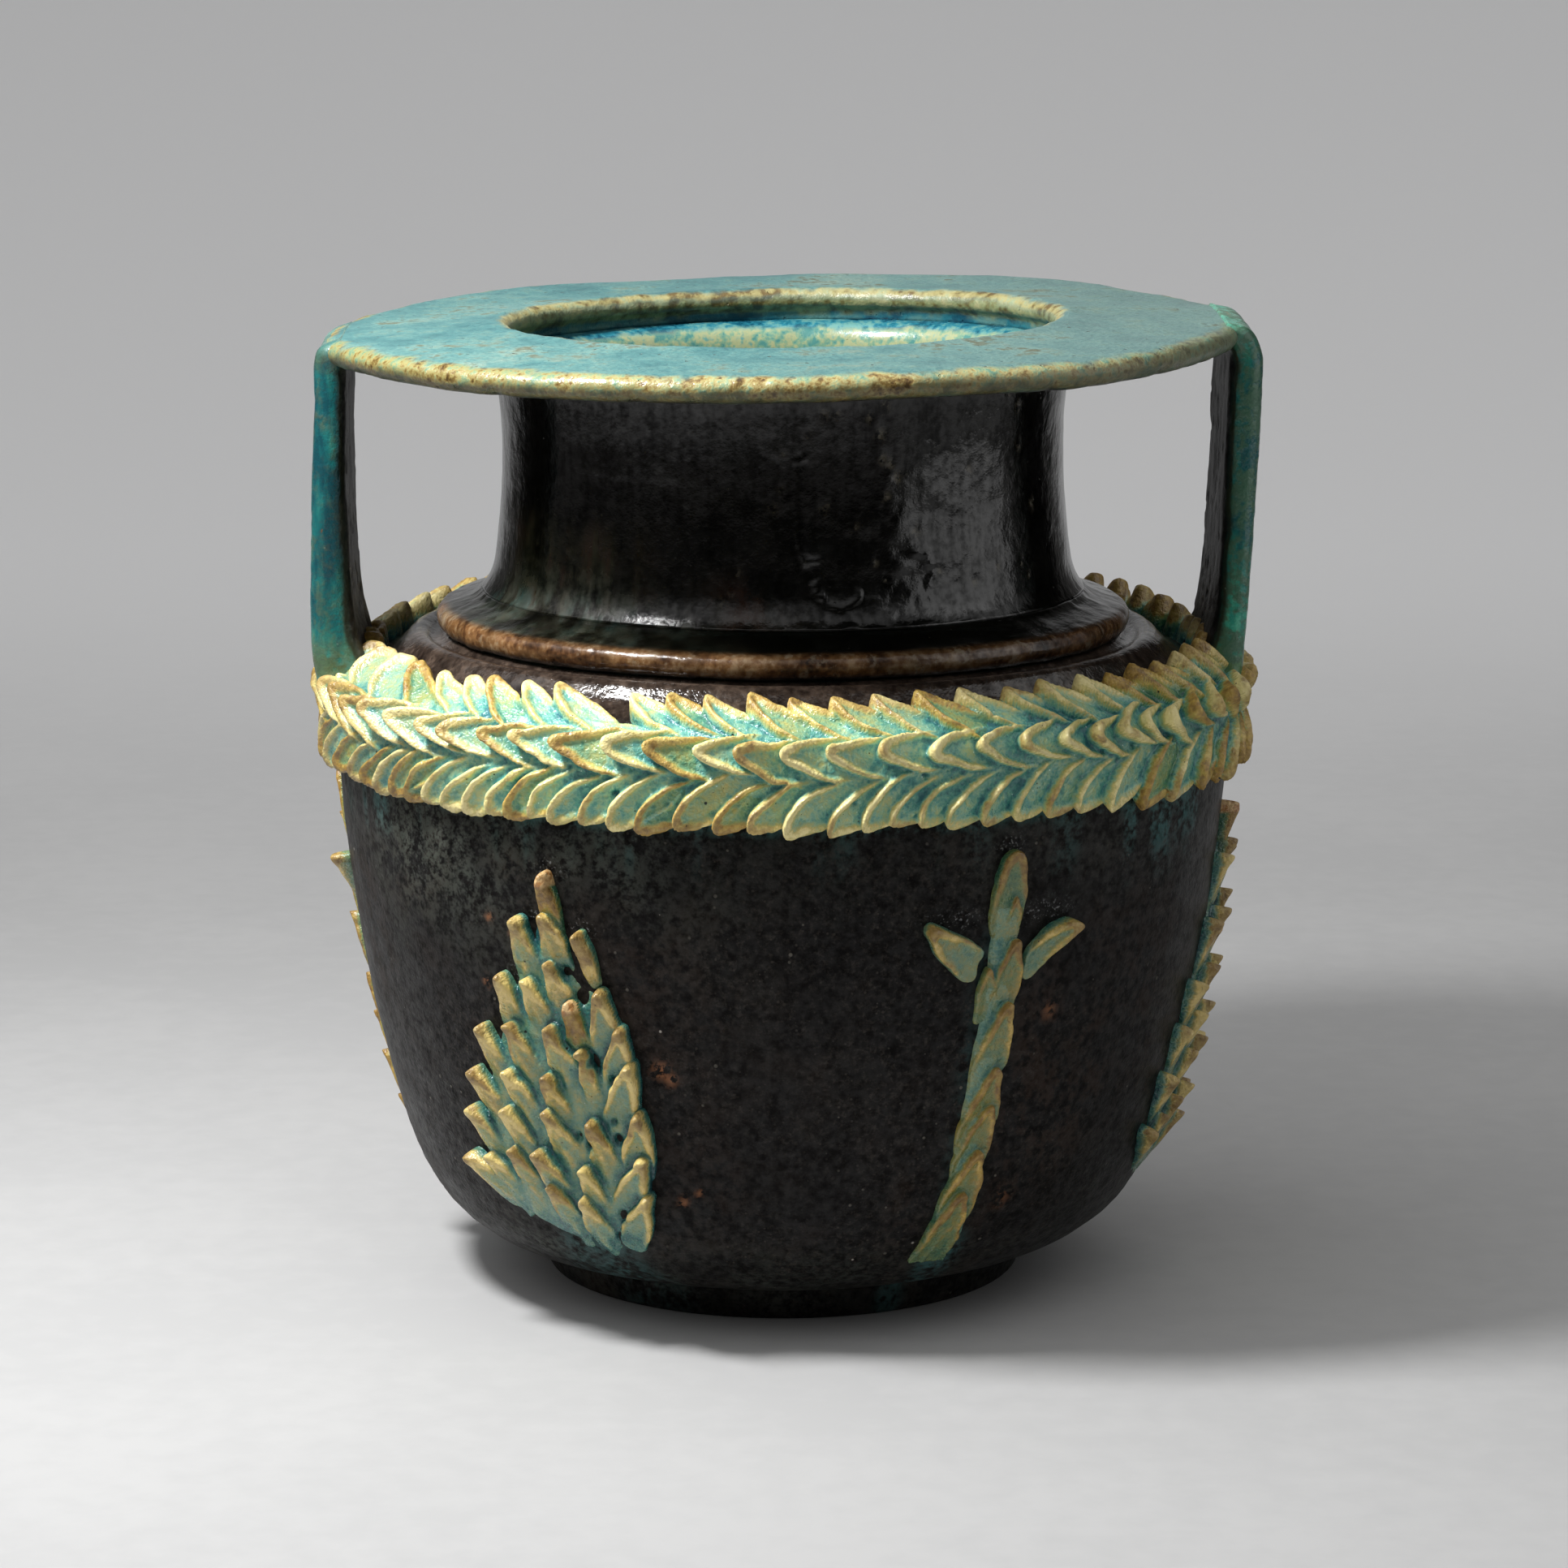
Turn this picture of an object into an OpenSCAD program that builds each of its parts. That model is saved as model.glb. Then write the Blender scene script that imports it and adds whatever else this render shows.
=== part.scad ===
// Two-handled glazed jar with a broad flat rim, a leaf garland round the
// shoulder and leaf reliefs on the bowl.
// Millimetres. +Z is up. The origin is the centre of the foot, on the surface
// that the jar stands on. The handles lie on the X axis.
// Every piece is a separately formed part that is luted to its neighbours,
// so the pieces meet face to face and share no volume.

/* [Bowl] */
// Largest outside radius of the bowl wall
bowl_r = 87.5; // [84:0.5:90]
// Height of the seam between the bowl and the shoulder
bowl_top = 112; // [108:1:116]
// Thickness of the bowl and shoulder walls
wall = 6.5; // [5:0.5:8]
// Outside radius of the foot where it touches the ground
foot_r = 47.5; // [44:0.5:49]
// Height of the foot
foot_h = 7; // [6:0.5:8]
// Inside radius of the foot's recess
foot_bore_r = 38; // [34:0.5:41]

/* [Neck and mouth] */
// Outside radius of the neck at its narrowest
neck_r = 55; // [54:0.5:57]
// Inside radius of the neck
neck_bore_r = 50; // [47:0.5:51]
// Radius of the mouth opening in the rim
mouth_r = 54.5; // [54:0.1:55]
// Height of the mouth's lip above the ground
jar_h = 190; // [184:1:198]

/* [Rim] */
// Outside radius of the flat rim
rim_r = 89.5; // [86:0.5:92]
// Thickness of the rim at the mouth
rim_t = 6.6; // [6:0.2:8]
// How far the top of the rim falls from the lip to the outer edge
rim_fall = 1.8; // [0:0.2:2.4]
// Radius that rounds the outer edge of the rim
rim_edge = 2.3; // [1.5:0.1:2.3]

/* [Collar] */
// Outside radius of the rounded collar at the root of the neck
collar_r = 68.1; // [66:0.5:70]
// Radius of the collar's rounded edge
collar_bead = 2.6; // [2:0.1:3]

/* [Handles] */
// Width of each handle strap
handle_w = 36; // [30:1:40]
// Thickness of each handle strap
handle_t = 6.8; // [6:0.2:8]
// Radius of the outer bend under the rim
handle_bend = 7; // [5:0.5:9]

/* [Garland] */
// How far the garland stands out from the bowl wall
garland_t = 5.6; // [4:0.2:7]
// Height of the garland's lower edge
garland_z = 105.6; // [103:0.5:107]

/* [Reliefs] */
// How far the leaf reliefs stand out from the bowl
relief_t = 3.2; // [2:0.2:4]
// Half width of a leaf cluster
cluster_half_w = 20; // [17:0.5:22]
// Directions of the leaf clusters, in degrees from +X
cluster_a = [236.5, 352, 114];
// Directions of the leafy stalks, in degrees from +X
stalk_a = [296.5, 54, 173];

/* [Hidden] */
$fn = 96;
eps = 0.01;

black_glaze = [0.09, 0.085, 0.08];
brown_glaze = [0.30, 0.17, 0.08];
blue_glaze = [0.27, 0.62, 0.64];
leaf_glaze = [0.62, 0.68, 0.42];

kz = (bowl_top - foot_h) / 105; // stretch of the bowl's height
kr = bowl_r / 87.5;             // stretch of the bowl's radius

// Outer line of the bowl as [height, radius], from the foot to the seam.
bowl_line = [for (p = [[0, 50.5], [1, 55], [2.5, 59.3], [5, 63.4], [9, 67.7],
    [14, 71.2], [20, 73.9], [28, 76.4], [38, 78.9], [50, 81.7], [63, 84.0],
    [77, 85.7], [89, 86.9], [98, 87.5], [105, 87.4]])
    [foot_h + p[0] * kz, p[1] * kr]];
function bowl_ro(z) = lookup(z, bowl_line);

// Outer line of the shoulder above the seam, up to the collar's seat.
shoulder_line = [for (p = [[0, 87.4], [3, 87.0], [6, 85.8], [8.5, 83.7],
    [10.5, 80.9], [12.4, 77.6], [14.2, 75.0], [15.7, 73.3], [16.3, 71.8],
    [16.3, 70.0], [15.8, 68.4]])
    [bowl_top + p[0], p[1] * kr]];
seat_z = bowl_top + 16.6; // seat of the collar on the shoulder

// Points on a circular arc, as [radius, height], round the centre [x, z].
function arc(x, z, r, from, to, n = 8) =
    [for (i = [0 : n]) let (a = from + (to - from) * i / n)
        [x + r * cos(a), z + r * sin(a)]];
// The points of a [height, radius] list as [radius, height].
function swap(l) = [for (p = l) [p[1], p[0]]];
function flip(l) = [for (i = [len(l) - 1 : -1 : 0]) l[i]];

collar_z = seat_z + collar_bead + 0.1; // middle of the collar's bead
neck_z = seat_z + 8.4;                 // seam between the collar and the neck
rim_z = jar_h - rim_t;                 // underside of the rim

// ---- foot, bowl, shoulder ----

module foot_ring() {
    color(black_glaze)
    rotate_extrude()
        polygon([[foot_bore_r, 1], [foot_bore_r + 1, 0], [foot_r - 1, 0],
            [foot_r, 1], [foot_r + 1.2, foot_h * 0.55], [foot_r + 1.8, foot_h],
            [foot_bore_r, foot_h]]);
}

floor_z = foot_h + 6.5;
bowl_inner = concat([[0, floor_z], [foot_r - 4, floor_z],
        [foot_r + 5, floor_z + 2.5], [58.5 * kr, floor_z + 6.5]],
    [for (p = [14, 20, 28, 38, 50, 63, 77, 89, 98, 105])
        if (p * kz + foot_h > floor_z + 8)
        let (z = foot_h + p * kz) [bowl_ro(z) - wall, z]]);

module bowl() {
    color(black_glaze)
    rotate_extrude()
        polygon(concat([[0, foot_h]], swap(bowl_line), flip(bowl_inner)));
}

module shoulder() {
    color(black_glaze)
    rotate_extrude()
        polygon(concat(swap(shoulder_line), [[66.6 * kr, seat_z],
            [neck_bore_r, seat_z], [neck_bore_r, seat_z - wall],
            [64 * kr, bowl_top + 16.0 - wall], [72 * kr, bowl_top + 12.6 - wall],
            [77 * kr, bowl_top + 9.0 - wall], [80 * kr, bowl_top + 5.6 - wall + 1.5],
            [87.4 * kr - wall, bowl_top]]));
}

// ---- collar and neck ----

module collar_ring() {
    color(brown_glaze)
    rotate_extrude()
        polygon(concat([[neck_bore_r, seat_z], [collar_r - 3.2, seat_z]],
            arc(collar_r - collar_bead, collar_z, collar_bead, -80, 90),
            [[neck_r + 6, neck_z - 0.9], [neck_r + 4.6, neck_z],
            [neck_bore_r, neck_z]]));
}

// Outer line of the neck as [radius, height]: a cove at its root, a waist and
// a small flare under the rim.
neck_h = rim_z - neck_z;
neck_line = [for (p = [[4.6, 0], [3.3, 0.035], [2.3, 0.08], [1.6, 0.14],
    [1.0, 0.25], [0.35, 0.40], [0, 0.56], [0.15, 0.70], [0.55, 0.82],
    [1.5, 0.93], [2.6, 1]]) [neck_r + p[0], neck_z + p[1] * neck_h]];

// The inside of the neck's top has a ledge, a step below the rim's underside,
// that a lid would rest on.
ledge_z = rim_z - 0.6;
module neck() {
    color(black_glaze)
    rotate_extrude()
        polygon(concat([[neck_bore_r, neck_z]], neck_line,
            [[mouth_r, rim_z], [mouth_r, ledge_z]],
            arc(neck_bore_r + 1.6, ledge_z - 1.6, 1.6, 90, 180, 5)));
}

// ---- rim ----

module rim_plate() {
    edge_z = jar_h - rim_fall - rim_edge;
    low_z = rim_z + rim_edge;
    color(blue_glaze)
    rotate_extrude()
        polygon(concat(
            [[mouth_r, rim_z]],
            arc(rim_r - rim_edge, low_z, rim_edge, -90, 0),
            arc(rim_r - rim_edge, max(edge_z, low_z + 0.1), rim_edge, 0, 80),
            arc(mouth_r + 2, jar_h - 2, 2, 90, 180, 6)));
}

// Everything inside the rim's outer surface, to trim the handles with.
module rim_envelope() {
    edge_z = jar_h - rim_fall - rim_edge;
    low_z = rim_z + rim_edge;
    rotate_extrude()
        polygon(concat([[0, rim_z]],
            arc(rim_r - rim_edge, low_z, rim_edge, -90, 0),
            arc(rim_r - rim_edge, max(edge_z, low_z + 0.1), rim_edge, 0, 80),
            [[mouth_r, jar_h], [0, jar_h]]));
}

// Everything inside the outer surface of the bowl and the shoulder.
module bowl_envelope() {
    rotate_extrude()
        polygon(concat([[0, foot_h]], swap(bowl_line), swap(shoulder_line),
            [[66.6 * kr, seat_z], [0, seat_z]]));
}

// ---- handles ----

strap_out = rim_r + 2.9;      // outer face under the rim
strap_foot = bowl_r + 2.7;    // outer face at the shoulder
strap_z = bowl_top + 5;       // lowest point of the strap

// Side outline of a handle, on +X: up the outside, round the bend, over the
// edge of the rim, and down the inside to a spread foot.
handle_outline = concat(
    [[strap_foot - 0.6, strap_z], [strap_foot, strap_z + 9],
     [strap_out - 0.9, rim_z - 30]],
    arc(strap_out - handle_bend, jar_h - rim_fall + 0.3 - handle_bend,
        handle_bend, 0, 84, 8),
    [[rim_r - 8, rim_z], [strap_out - handle_t, rim_z],
     [strap_out - handle_t - 0.7, rim_z - 30],
     [strap_foot - handle_t - 0.5, strap_z + 20],
     [strap_foot - handle_t - 2.2, strap_z + 11],
     [strap_foot - handle_t - 4.2, strap_z + 6],
     [strap_foot - handle_t - 5.2, strap_z]]);

module handle() {
    color(blue_glaze)
    difference() {
        translate([0, handle_w / 2, 0])
            rotate([90, 0, 0])
                linear_extrude(height = handle_w)
                    polygon(handle_outline);
        rim_envelope();
        bowl_envelope();
    }
}

module handle_right() { handle(); }
module handle_left() { rotate([0, 0, 180]) handle(); }

// ---- garland ----

gr = bowl_r + garland_t;
garland_section = [[bowl_r - 3, garland_z], [bowl_r + 1.6, garland_z],
    [gr - 1.6, garland_z + 2.6], [gr - 0.3, garland_z + 6],
    [gr, garland_z + 10], [gr - 0.6, garland_z + 13.6],
    [gr - 2.4, garland_z + 17], [gr - 5.6, garland_z + 20],
    [gr - 9.4, garland_z + 21.8], [gr - 13.2, garland_z + 21.4],
    [gr - 14.4, garland_z + 19.4], [gr - 16, garland_z + 15],
    [bowl_r - 8, garland_z + 10]];

// Half of the garland, from the angle a through a half turn.
module garland_half(a) {
    color(leaf_glaze)
    difference() {
        rotate([0, 0, a]) rotate_extrude(angle = 180) polygon(garland_section);
        bowl_envelope();
        handle();
        rotate([0, 0, 180]) handle();
    }
}

module garland_front() { garland_half(180); }
module garland_back() { garland_half(0); }

// ---- reliefs on the bowl ----

// The layer of clay that the reliefs are cut from: the bowl's own outer line,
// moved out by the relief's thickness.
module relief_layer() {
    rotate_extrude()
        difference() {
            polygon(concat([[0, foot_h + 2]],
                [for (p = bowl_line) [p[1] + relief_t, max(p[0], foot_h + 2)]],
                [[0, bowl_top]]));
            polygon(concat([[0, foot_h - 5]], swap(bowl_line),
                [[0, bowl_top + 5]]));
        }
}

// Outline of a leaf cluster seen from outside: a stem at the foot, swelling
// to full width at a third of its height, and a toothed taper to one leaf.
cw = cluster_half_w / 20;
cluster_half_line = [[4, 18.3], [10, 23], [17, 29.5], [20, 33], [18.6, 37.5],
    [19.6, 42.5], [17.6, 47.5], [18, 52], [15.4, 54], [15.6, 61], [12, 63],
    [11.4, 72], [7.2, 74], [6.6, 80.5], [2.8, 82], [1.8, 93.6]];
cluster_outline = concat(
    [for (p = cluster_half_line) [p[0] * cw, foot_h + (p[1] - 7) * kz]],
    flip([for (p = cluster_half_line) [-p[0] * cw, foot_h + (p[1] - 7) * kz]]));

// Outline of a leafy stalk: a lean stem that ends in one leaf, and two side
// leaves that stand clear of it.
stem_outline = [for (p = [[-3.5, 18.3], [2.5, 18.3], [3.6, 30], [4.0, 47],
    [4.2, 60], [4.2, 73], [4.4, 87], [3.0, 92], [0.8, 99.2], [-1.2, 99.2],
    [-3.4, 92], [-4.0, 87], [-3.6, 73], [-4.2, 60], [-4.6, 47], [-4.6, 30]])
    [p[0], foot_h + (p[1] - 7) * kz]];
side_leaf_l = [for (p = [[-16, 86], [-5.2, 80.5], [-7.2, 74]])
    [p[0], foot_h + (p[1] - 7) * kz]];
side_leaf_r = [for (p = [[15, 85.8], [6.0, 73], [5.4, 79]])
    [p[0], foot_h + (p[1] - 7) * kz]];

// Cuts the outline out of the relief layer, facing the direction a.
module relief(a) {
    color(leaf_glaze)
    rotate([0, 0, a + 90])
        intersection() {
            rotate([0, 0, 90]) relief_layer();
            translate([0, -30, 0])
                rotate([90, 0, 0])
                    linear_extrude(height = 80)
                        children();
        }
}

module cluster(a) { relief(a) polygon(cluster_outline); }
module stalk(a) {
    relief(a) {
        polygon(stem_outline);
        polygon(side_leaf_l);
        polygon(side_leaf_r);
    }
}

module leaf_cluster_front() { cluster(cluster_a[0]); }
module leaf_cluster_right() { cluster(cluster_a[1]); }
module leaf_cluster_back() { cluster(cluster_a[2]); }
module stalk_front() { stalk(stalk_a[0]); }
module stalk_back() { stalk(stalk_a[1]); }
module stalk_left() { stalk(stalk_a[2]); }

foot_ring();
bowl();
shoulder();
collar_ring();
neck();
rim_plate();
handle_left();
handle_right();
garland_front();
garland_back();
leaf_cluster_front();
leaf_cluster_right();
leaf_cluster_back();
stalk_front();
stalk_back();
stalk_left();
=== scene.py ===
import math

import bpy
import numpy as np
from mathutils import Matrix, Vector


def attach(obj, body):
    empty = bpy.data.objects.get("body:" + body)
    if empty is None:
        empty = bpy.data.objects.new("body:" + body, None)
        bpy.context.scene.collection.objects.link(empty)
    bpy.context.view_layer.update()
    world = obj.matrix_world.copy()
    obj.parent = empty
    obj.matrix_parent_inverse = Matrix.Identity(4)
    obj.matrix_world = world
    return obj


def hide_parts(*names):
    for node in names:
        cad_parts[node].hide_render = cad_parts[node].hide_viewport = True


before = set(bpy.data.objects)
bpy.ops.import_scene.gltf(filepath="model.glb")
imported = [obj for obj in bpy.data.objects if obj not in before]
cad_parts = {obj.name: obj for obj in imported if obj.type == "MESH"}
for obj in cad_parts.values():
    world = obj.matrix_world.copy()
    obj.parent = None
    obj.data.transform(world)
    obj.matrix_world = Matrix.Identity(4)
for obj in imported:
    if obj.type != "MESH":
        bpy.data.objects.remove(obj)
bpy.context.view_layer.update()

MM = 0.001
TAU = 2 * math.pi
scene = bpy.context.scene
scene.view_settings.view_transform = "Standard"
scene.view_settings.look = "None"

# ---------------------------------------------------------------- camera
# The jar's handle axis is turned one degree against the photograph's view.
TURN = math.radians(-1.0)
cam_data = bpy.data.cameras.new("camera")
cam_data.sensor_fit = "AUTO"
cam_data.sensor_width = 36.0
cam_data.lens = 124.18
cam_data.clip_start = 0.05
cam_data.clip_end = 60.0
cam = bpy.data.objects.new("camera", cam_data)
scene.collection.objects.link(cam)
cam.location = (1.05686 * math.sin(TURN), -1.05686 * math.cos(TURN), 0.30113)
cam.rotation_euler = (math.radians(90.0 - 10.952), 0.0, TURN - 0.0002)
scene.camera = cam


# ---------------------------------------------------------------- numbers
def smooth(x, a, b):
    t = np.clip((np.asarray(x, float) - a) / (b - a), 0.0, 1.0)
    return t * t * (3 - 2 * t)


def lattice(ix, iy, iz, seed):
    """A fixed pseudo-random number from 0 to 1 for each lattice point."""
    n = (ix.astype(np.int64) * 374761393 + iy.astype(np.int64) * 668265263
         + iz.astype(np.int64) * 2147483647 + seed * 1274126177) & 0xFFFFFFFF
    n = ((n ^ (n >> 13)) * 1274126177) & 0xFFFFFFFF
    n = ((n ^ (n >> 16)) * 2246822519) & 0xFFFFFFFF
    return ((n ^ (n >> 15)) & 0xFFFFFF) / float(0xFFFFFF)


def noise(P, scale, seed=0):
    """Value noise from -1 to 1 at points P (mm), with features of size scale (mm)."""
    q = np.asarray(P, float) / scale
    i = np.floor(q).astype(np.int64)
    f = q - i
    f = f * f * f * (f * (f * 6 - 15) + 10)
    out = 0.0
    for dx in (0, 1):
        wx = f[:, 0] if dx else 1 - f[:, 0]
        for dy in (0, 1):
            wy = f[:, 1] if dy else 1 - f[:, 1]
            for dz in (0, 1):
                wz = f[:, 2] if dz else 1 - f[:, 2]
                out = out + wx * wy * wz * lattice(i[:, 0] + dx, i[:, 1] + dy, i[:, 2] + dz, seed)
    return out * 2 - 1


def fbm(P, scale, seed=0, octaves=3):
    out, amp, tot = 0.0, 1.0, 0.0
    for k in range(octaves):
        out = out + amp * noise(P, scale / 2 ** k, seed + 17 * k)
        tot += amp
        amp *= 0.5
    return out / tot


def spline(pts, step):
    """A smooth curve through the points, sampled about every step."""
    p = np.array(pts, float)
    q = np.vstack([2 * p[0] - p[1], p, 2 * p[-1] - p[-2]])
    out = []
    for k in range(1, len(q) - 2):
        a, b, c, d = q[k - 1], q[k], q[k + 1], q[k + 2]
        ta = 0.0
        tb = ta + np.linalg.norm(b - a) ** 0.5
        tc = tb + np.linalg.norm(c - b) ** 0.5
        td = tc + np.linalg.norm(d - c) ** 0.5
        n = max(1, int(round(np.linalg.norm(c - b) / step)))
        for t in np.linspace(tb, tc, n, endpoint=False):
            A1 = (tb - t) / (tb - ta) * a + (t - ta) / (tb - ta) * b
            A2 = (tc - t) / (tc - tb) * b + (t - tb) / (tc - tb) * c
            A3 = (td - t) / (td - tc) * c + (t - tc) / (td - tc) * d
            B1 = (tc - t) / (tc - ta) * A1 + (t - ta) / (tc - ta) * A2
            B2 = (td - t) / (td - tb) * A2 + (t - tb) / (td - tb) * A3
            out.append((tc - t) / (tc - tb) * B1 + (t - tb) / (tc - tb) * B2)
    out.append(p[-1])
    return np.array(out)


def line(pts, step):
    """Straight stretches through the points, sampled about every step."""
    p = np.array(pts, float)
    out = []
    for a, b in zip(p[:-1], p[1:]):
        n = max(1, int(round(np.linalg.norm(b - a) / step)))
        out += [a + (b - a) * t for t in np.linspace(0, 1, n, endpoint=False)]
    out.append(p[-1])
    return np.array(out)


# ---------------------------------------------------------------- the jar's form (mm)
BOWL = [(50.2, 7), (54.6, 8), (59.0, 9.5), (63.3, 12), (67.8, 16), (71.2, 21), (74.0, 27),
        (76.6, 35), (79.2, 45), (81.8, 57), (84.0, 70), (85.8, 84), (87.0, 96), (87.5, 105), (87.4, 112)]
_bz = np.array([p[1] for p in BOWL])
_br = np.array([p[0] for p in BOWL])
_fine = spline(BOWL, 0.5)


def bowl_r(z):
    return np.interp(z, _fine[:, 1], _fine[:, 0])


def warp(P):
    """The hand-made jar's irregularity, in mm: the rim tilts, and the round forms are a little uneven."""
    P = np.array(P, float)
    x, y, z = P[:, 0], P[:, 1], P[:, 2]
    r = np.hypot(x, y)
    a = np.arctan2(y, x)
    k = smooth(r, 20, 60)
    dr = k * (0.22 * np.sin(2 * a + 1.1 + z / 90) + 0.16 * np.sin(3 * a + 0.4 + z / 40) + 0.10 * np.sin(5 * a + 2.0 - z / 23))
    dr = dr * smooth(z, 1.0, 9.0)
    top = smooth(z, 176, 184)
    dr = dr + top * smooth(r, 70, 90) * (0.20 * np.sin(4 * a + 0.3) + 0.14 * np.sin(7 * a + 1.9) + 0.10 * np.sin(11 * a + 4.0) + 0.08 * np.sin(19 * a))
    dz = 0.016 * x * smooth(z, 140, 183)
    # the plate rises a little towards its edge at the back
    dz = dz + top * 1.2 * smooth(r, 58, 86) * smooth(y / np.maximum(r, 1e-6), 0.2, 0.9)
    dz = dz + top * (0.20 * np.sin(2 * a + 0.8) + smooth(r, 60, 90) * (0.18 * np.sin(5 * a + 2.2) + 0.14 * np.sin(9 * a + 0.5)))
    s = np.where(r > 1e-6, (r + dr) / np.maximum(r, 1e-6), 1.0)
    return np.stack([x * s, y * s, z + dz], -1)


# ---------------------------------------------------------------- fast meshes
def quad_mesh(name, verts_mm, quads, ngons=(), masks=None, warped=True):
    """A mesh of quads, plus a few larger faces, with one number per point for each mask."""
    v = (warp(verts_mm) if warped else np.asarray(verts_mm, float)) * MM
    q = np.asarray(quads, np.int32)
    loops = [q.reshape(-1)]
    starts = [np.arange(len(q), dtype=np.int32) * 4]
    at = len(q) * 4
    for g in ngons:
        loops.append(np.asarray(g, np.int32))
        starts.append(np.array([at], np.int32))
        at += len(g)
    loops = np.concatenate(loops)
    starts = np.concatenate(starts)
    me = bpy.data.meshes.new(name)
    me.vertices.add(len(v))
    me.vertices.foreach_set("co", v.astype(np.float32).reshape(-1))
    me.loops.add(len(loops))
    me.loops.foreach_set("vertex_index", loops)
    me.polygons.add(len(starts))
    me.polygons.foreach_set("loop_start", starts)
    me.update(calc_edges=True)
    me.validate()
    me.polygons.foreach_set("use_smooth", np.ones(len(me.polygons), bool))
    for key, val in (masks or {}).items():
        at = me.attributes.new(key, "FLOAT", "POINT")
        at.data.foreach_set("value", np.asarray(val, np.float32))
    ob = bpy.data.objects.new(name, me)
    scene.collection.objects.link(ob)
    return ob


def turn_solid(name, outer, inner, n, step_out, step_in, shape=None, masks=None, smooth_out=True):
    """A body turned on the wheel. outer and inner are (r, z) lines; shape moves the points
    (given on the outer line or not), masks gives the point masks."""
    a = spline(outer, step_out) if smooth_out else line(outer, step_out)
    if outer[0][0] < 1e-6:   # few rings are needed on the flat bottom
        a = np.array([p for k, p in enumerate(a) if not (1e-6 < p[0] < 44 and k % 8)])
    b = line([outer[-1]] + inner + ([outer[0]] if outer[0][0] > 1e-6 else []), step_in)[1:]
    prof = [a[0]]
    for p in np.vstack([a[1:], b]):
        if np.linalg.norm(p - prof[-1]) > 1e-4:
            prof.append(p)
    if np.linalg.norm(prof[-1] - prof[0]) < 1e-4:
        prof.pop()
    prof = np.array(prof)
    prof[:, 1] = np.maximum(prof[:, 1], 0.0)
    d = np.roll(prof, -1, 0) - np.roll(prof, 1, 0)
    nrm = np.stack([d[:, 1], -d[:, 0]], -1)
    nrm /= np.maximum(np.linalg.norm(nrm, axis=1, keepdims=True), 1e-9)
    ang = np.linspace(0, TAU, n, endpoint=False)
    ca, sa = np.cos(ang), np.sin(ang)
    m = len(prof)
    r, z = prof[:, 0][:, None], prof[:, 1][:, None]
    P = np.stack([r * ca, r * sa, z + 0 * ca], -1).reshape(-1, 3)
    N = np.stack([nrm[:, 0][:, None] * ca, nrm[:, 0][:, None] * sa, nrm[:, 1][:, None] + 0 * ca], -1).reshape(-1, 3)
    inside = np.repeat(np.arange(m) >= len(a), n)
    M = masks(P, N, inside) if masks else {}
    if shape:
        P = P + N * shape(P, N, inside)[:, None]
    i = np.arange(n)
    j = (i + 1) % n
    quads, ngons = [], []
    axis = [k for k in range(m) if prof[k, 0] < 1e-6]
    keep_rows = np.ones(m, bool)
    for k in range(m):
        k2 = (k + 1) % m
        if k in axis or k2 in axis:
            continue
        quads.append(np.stack([k * n + i, k * n + j, k2 * n + j, k2 * n + i], -1))
    for k in axis:
        ring = (k - 1) % m if ((k - 1) % m) not in axis else (k + 1) % m
        ids = ring * n + i
        ngons.append(list(ids if ring < k else ids[::-1]))
        keep_rows[k] = False
    quads = np.vstack(quads)
    keep = np.repeat(keep_rows, n)
    new = np.cumsum(keep) - 1
    quads = new[quads]
    ngons = [[int(new[x]) for x in g] for g in ngons]
    P = P[keep]
    M = {key: np.broadcast_to(val, keep.shape)[keep] for key, val in M.items()}
    return quad_mesh(name, P, quads, ngons, M)


# ---------------------------------------------------------------- leaf reliefs
def blur(A, sy, sx, wrap=False):
    """Gaussian blur, with the spread in grid steps along each direction."""
    for s, ax in ((sy, 0), (sx, 1)):
        if s <= 0:
            continue
        r = int(math.ceil(3 * s))
        k = np.exp(-0.5 * (np.arange(-r, r + 1) / s) ** 2)
        k /= k.sum()
        if ax == 1 and wrap:
            A = sum(w * np.roll(A, d, 1) for w, d in zip(k, range(-r, r + 1)))
        else:
            pad = [(0, 0), (0, 0)]
            pad[ax] = (r, r)
            B = np.pad(A, pad, mode="edge")
            n = A.shape[ax]
            A = sum(w * (B[d:d + n] if ax == 0 else B[:, d:d + n]) for w, d in zip(k, range(2 * r + 1)))
    return A


def lowest(A, ry, rx, wrap=False):
    for r, ax in ((ry, 0), (rx, 1)):
        B = A
        for d in range(1, r + 1):
            for s in (-d, d):
                R = np.roll(A, s, ax)
                if not (wrap and ax == 1):
                    if ax == 0:
                        if s > 0:
                            R[:s] = A[:s]
                        else:
                            R[s:] = A[s:]
                    else:
                        if s > 0:
                            R[:, :s] = A[:, :s]
                        else:
                            R[:, s:] = A[:, s:]
                B = np.minimum(B, R)
        A = B
    return A


def edge_distance(X, Y, outline):
    """Distance from the points to a closed outline, positive inside it."""
    P = np.asarray(outline, float)
    best = np.full(X.shape, 1e9)
    inside = np.zeros(X.shape, bool)
    for (ax, ay), (bx, by) in zip(P, np.roll(P, -1, 0)):
        dx, dy = bx - ax, by - ay
        t = np.clip(((X - ax) * dx + (Y - ay) * dy) / max(dx * dx + dy * dy, 1e-9), 0, 1)
        best = np.minimum(best, (X - ax - t * dx) ** 2 + (Y - ay - t * dy) ** 2)
        if ay != by:
            inside ^= ((ay > Y) != (by > Y)) & (X < (bx - ax) * (Y - ay) / (by - ay) + ax)
    return np.where(inside, np.sqrt(best), -np.sqrt(best))


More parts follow.
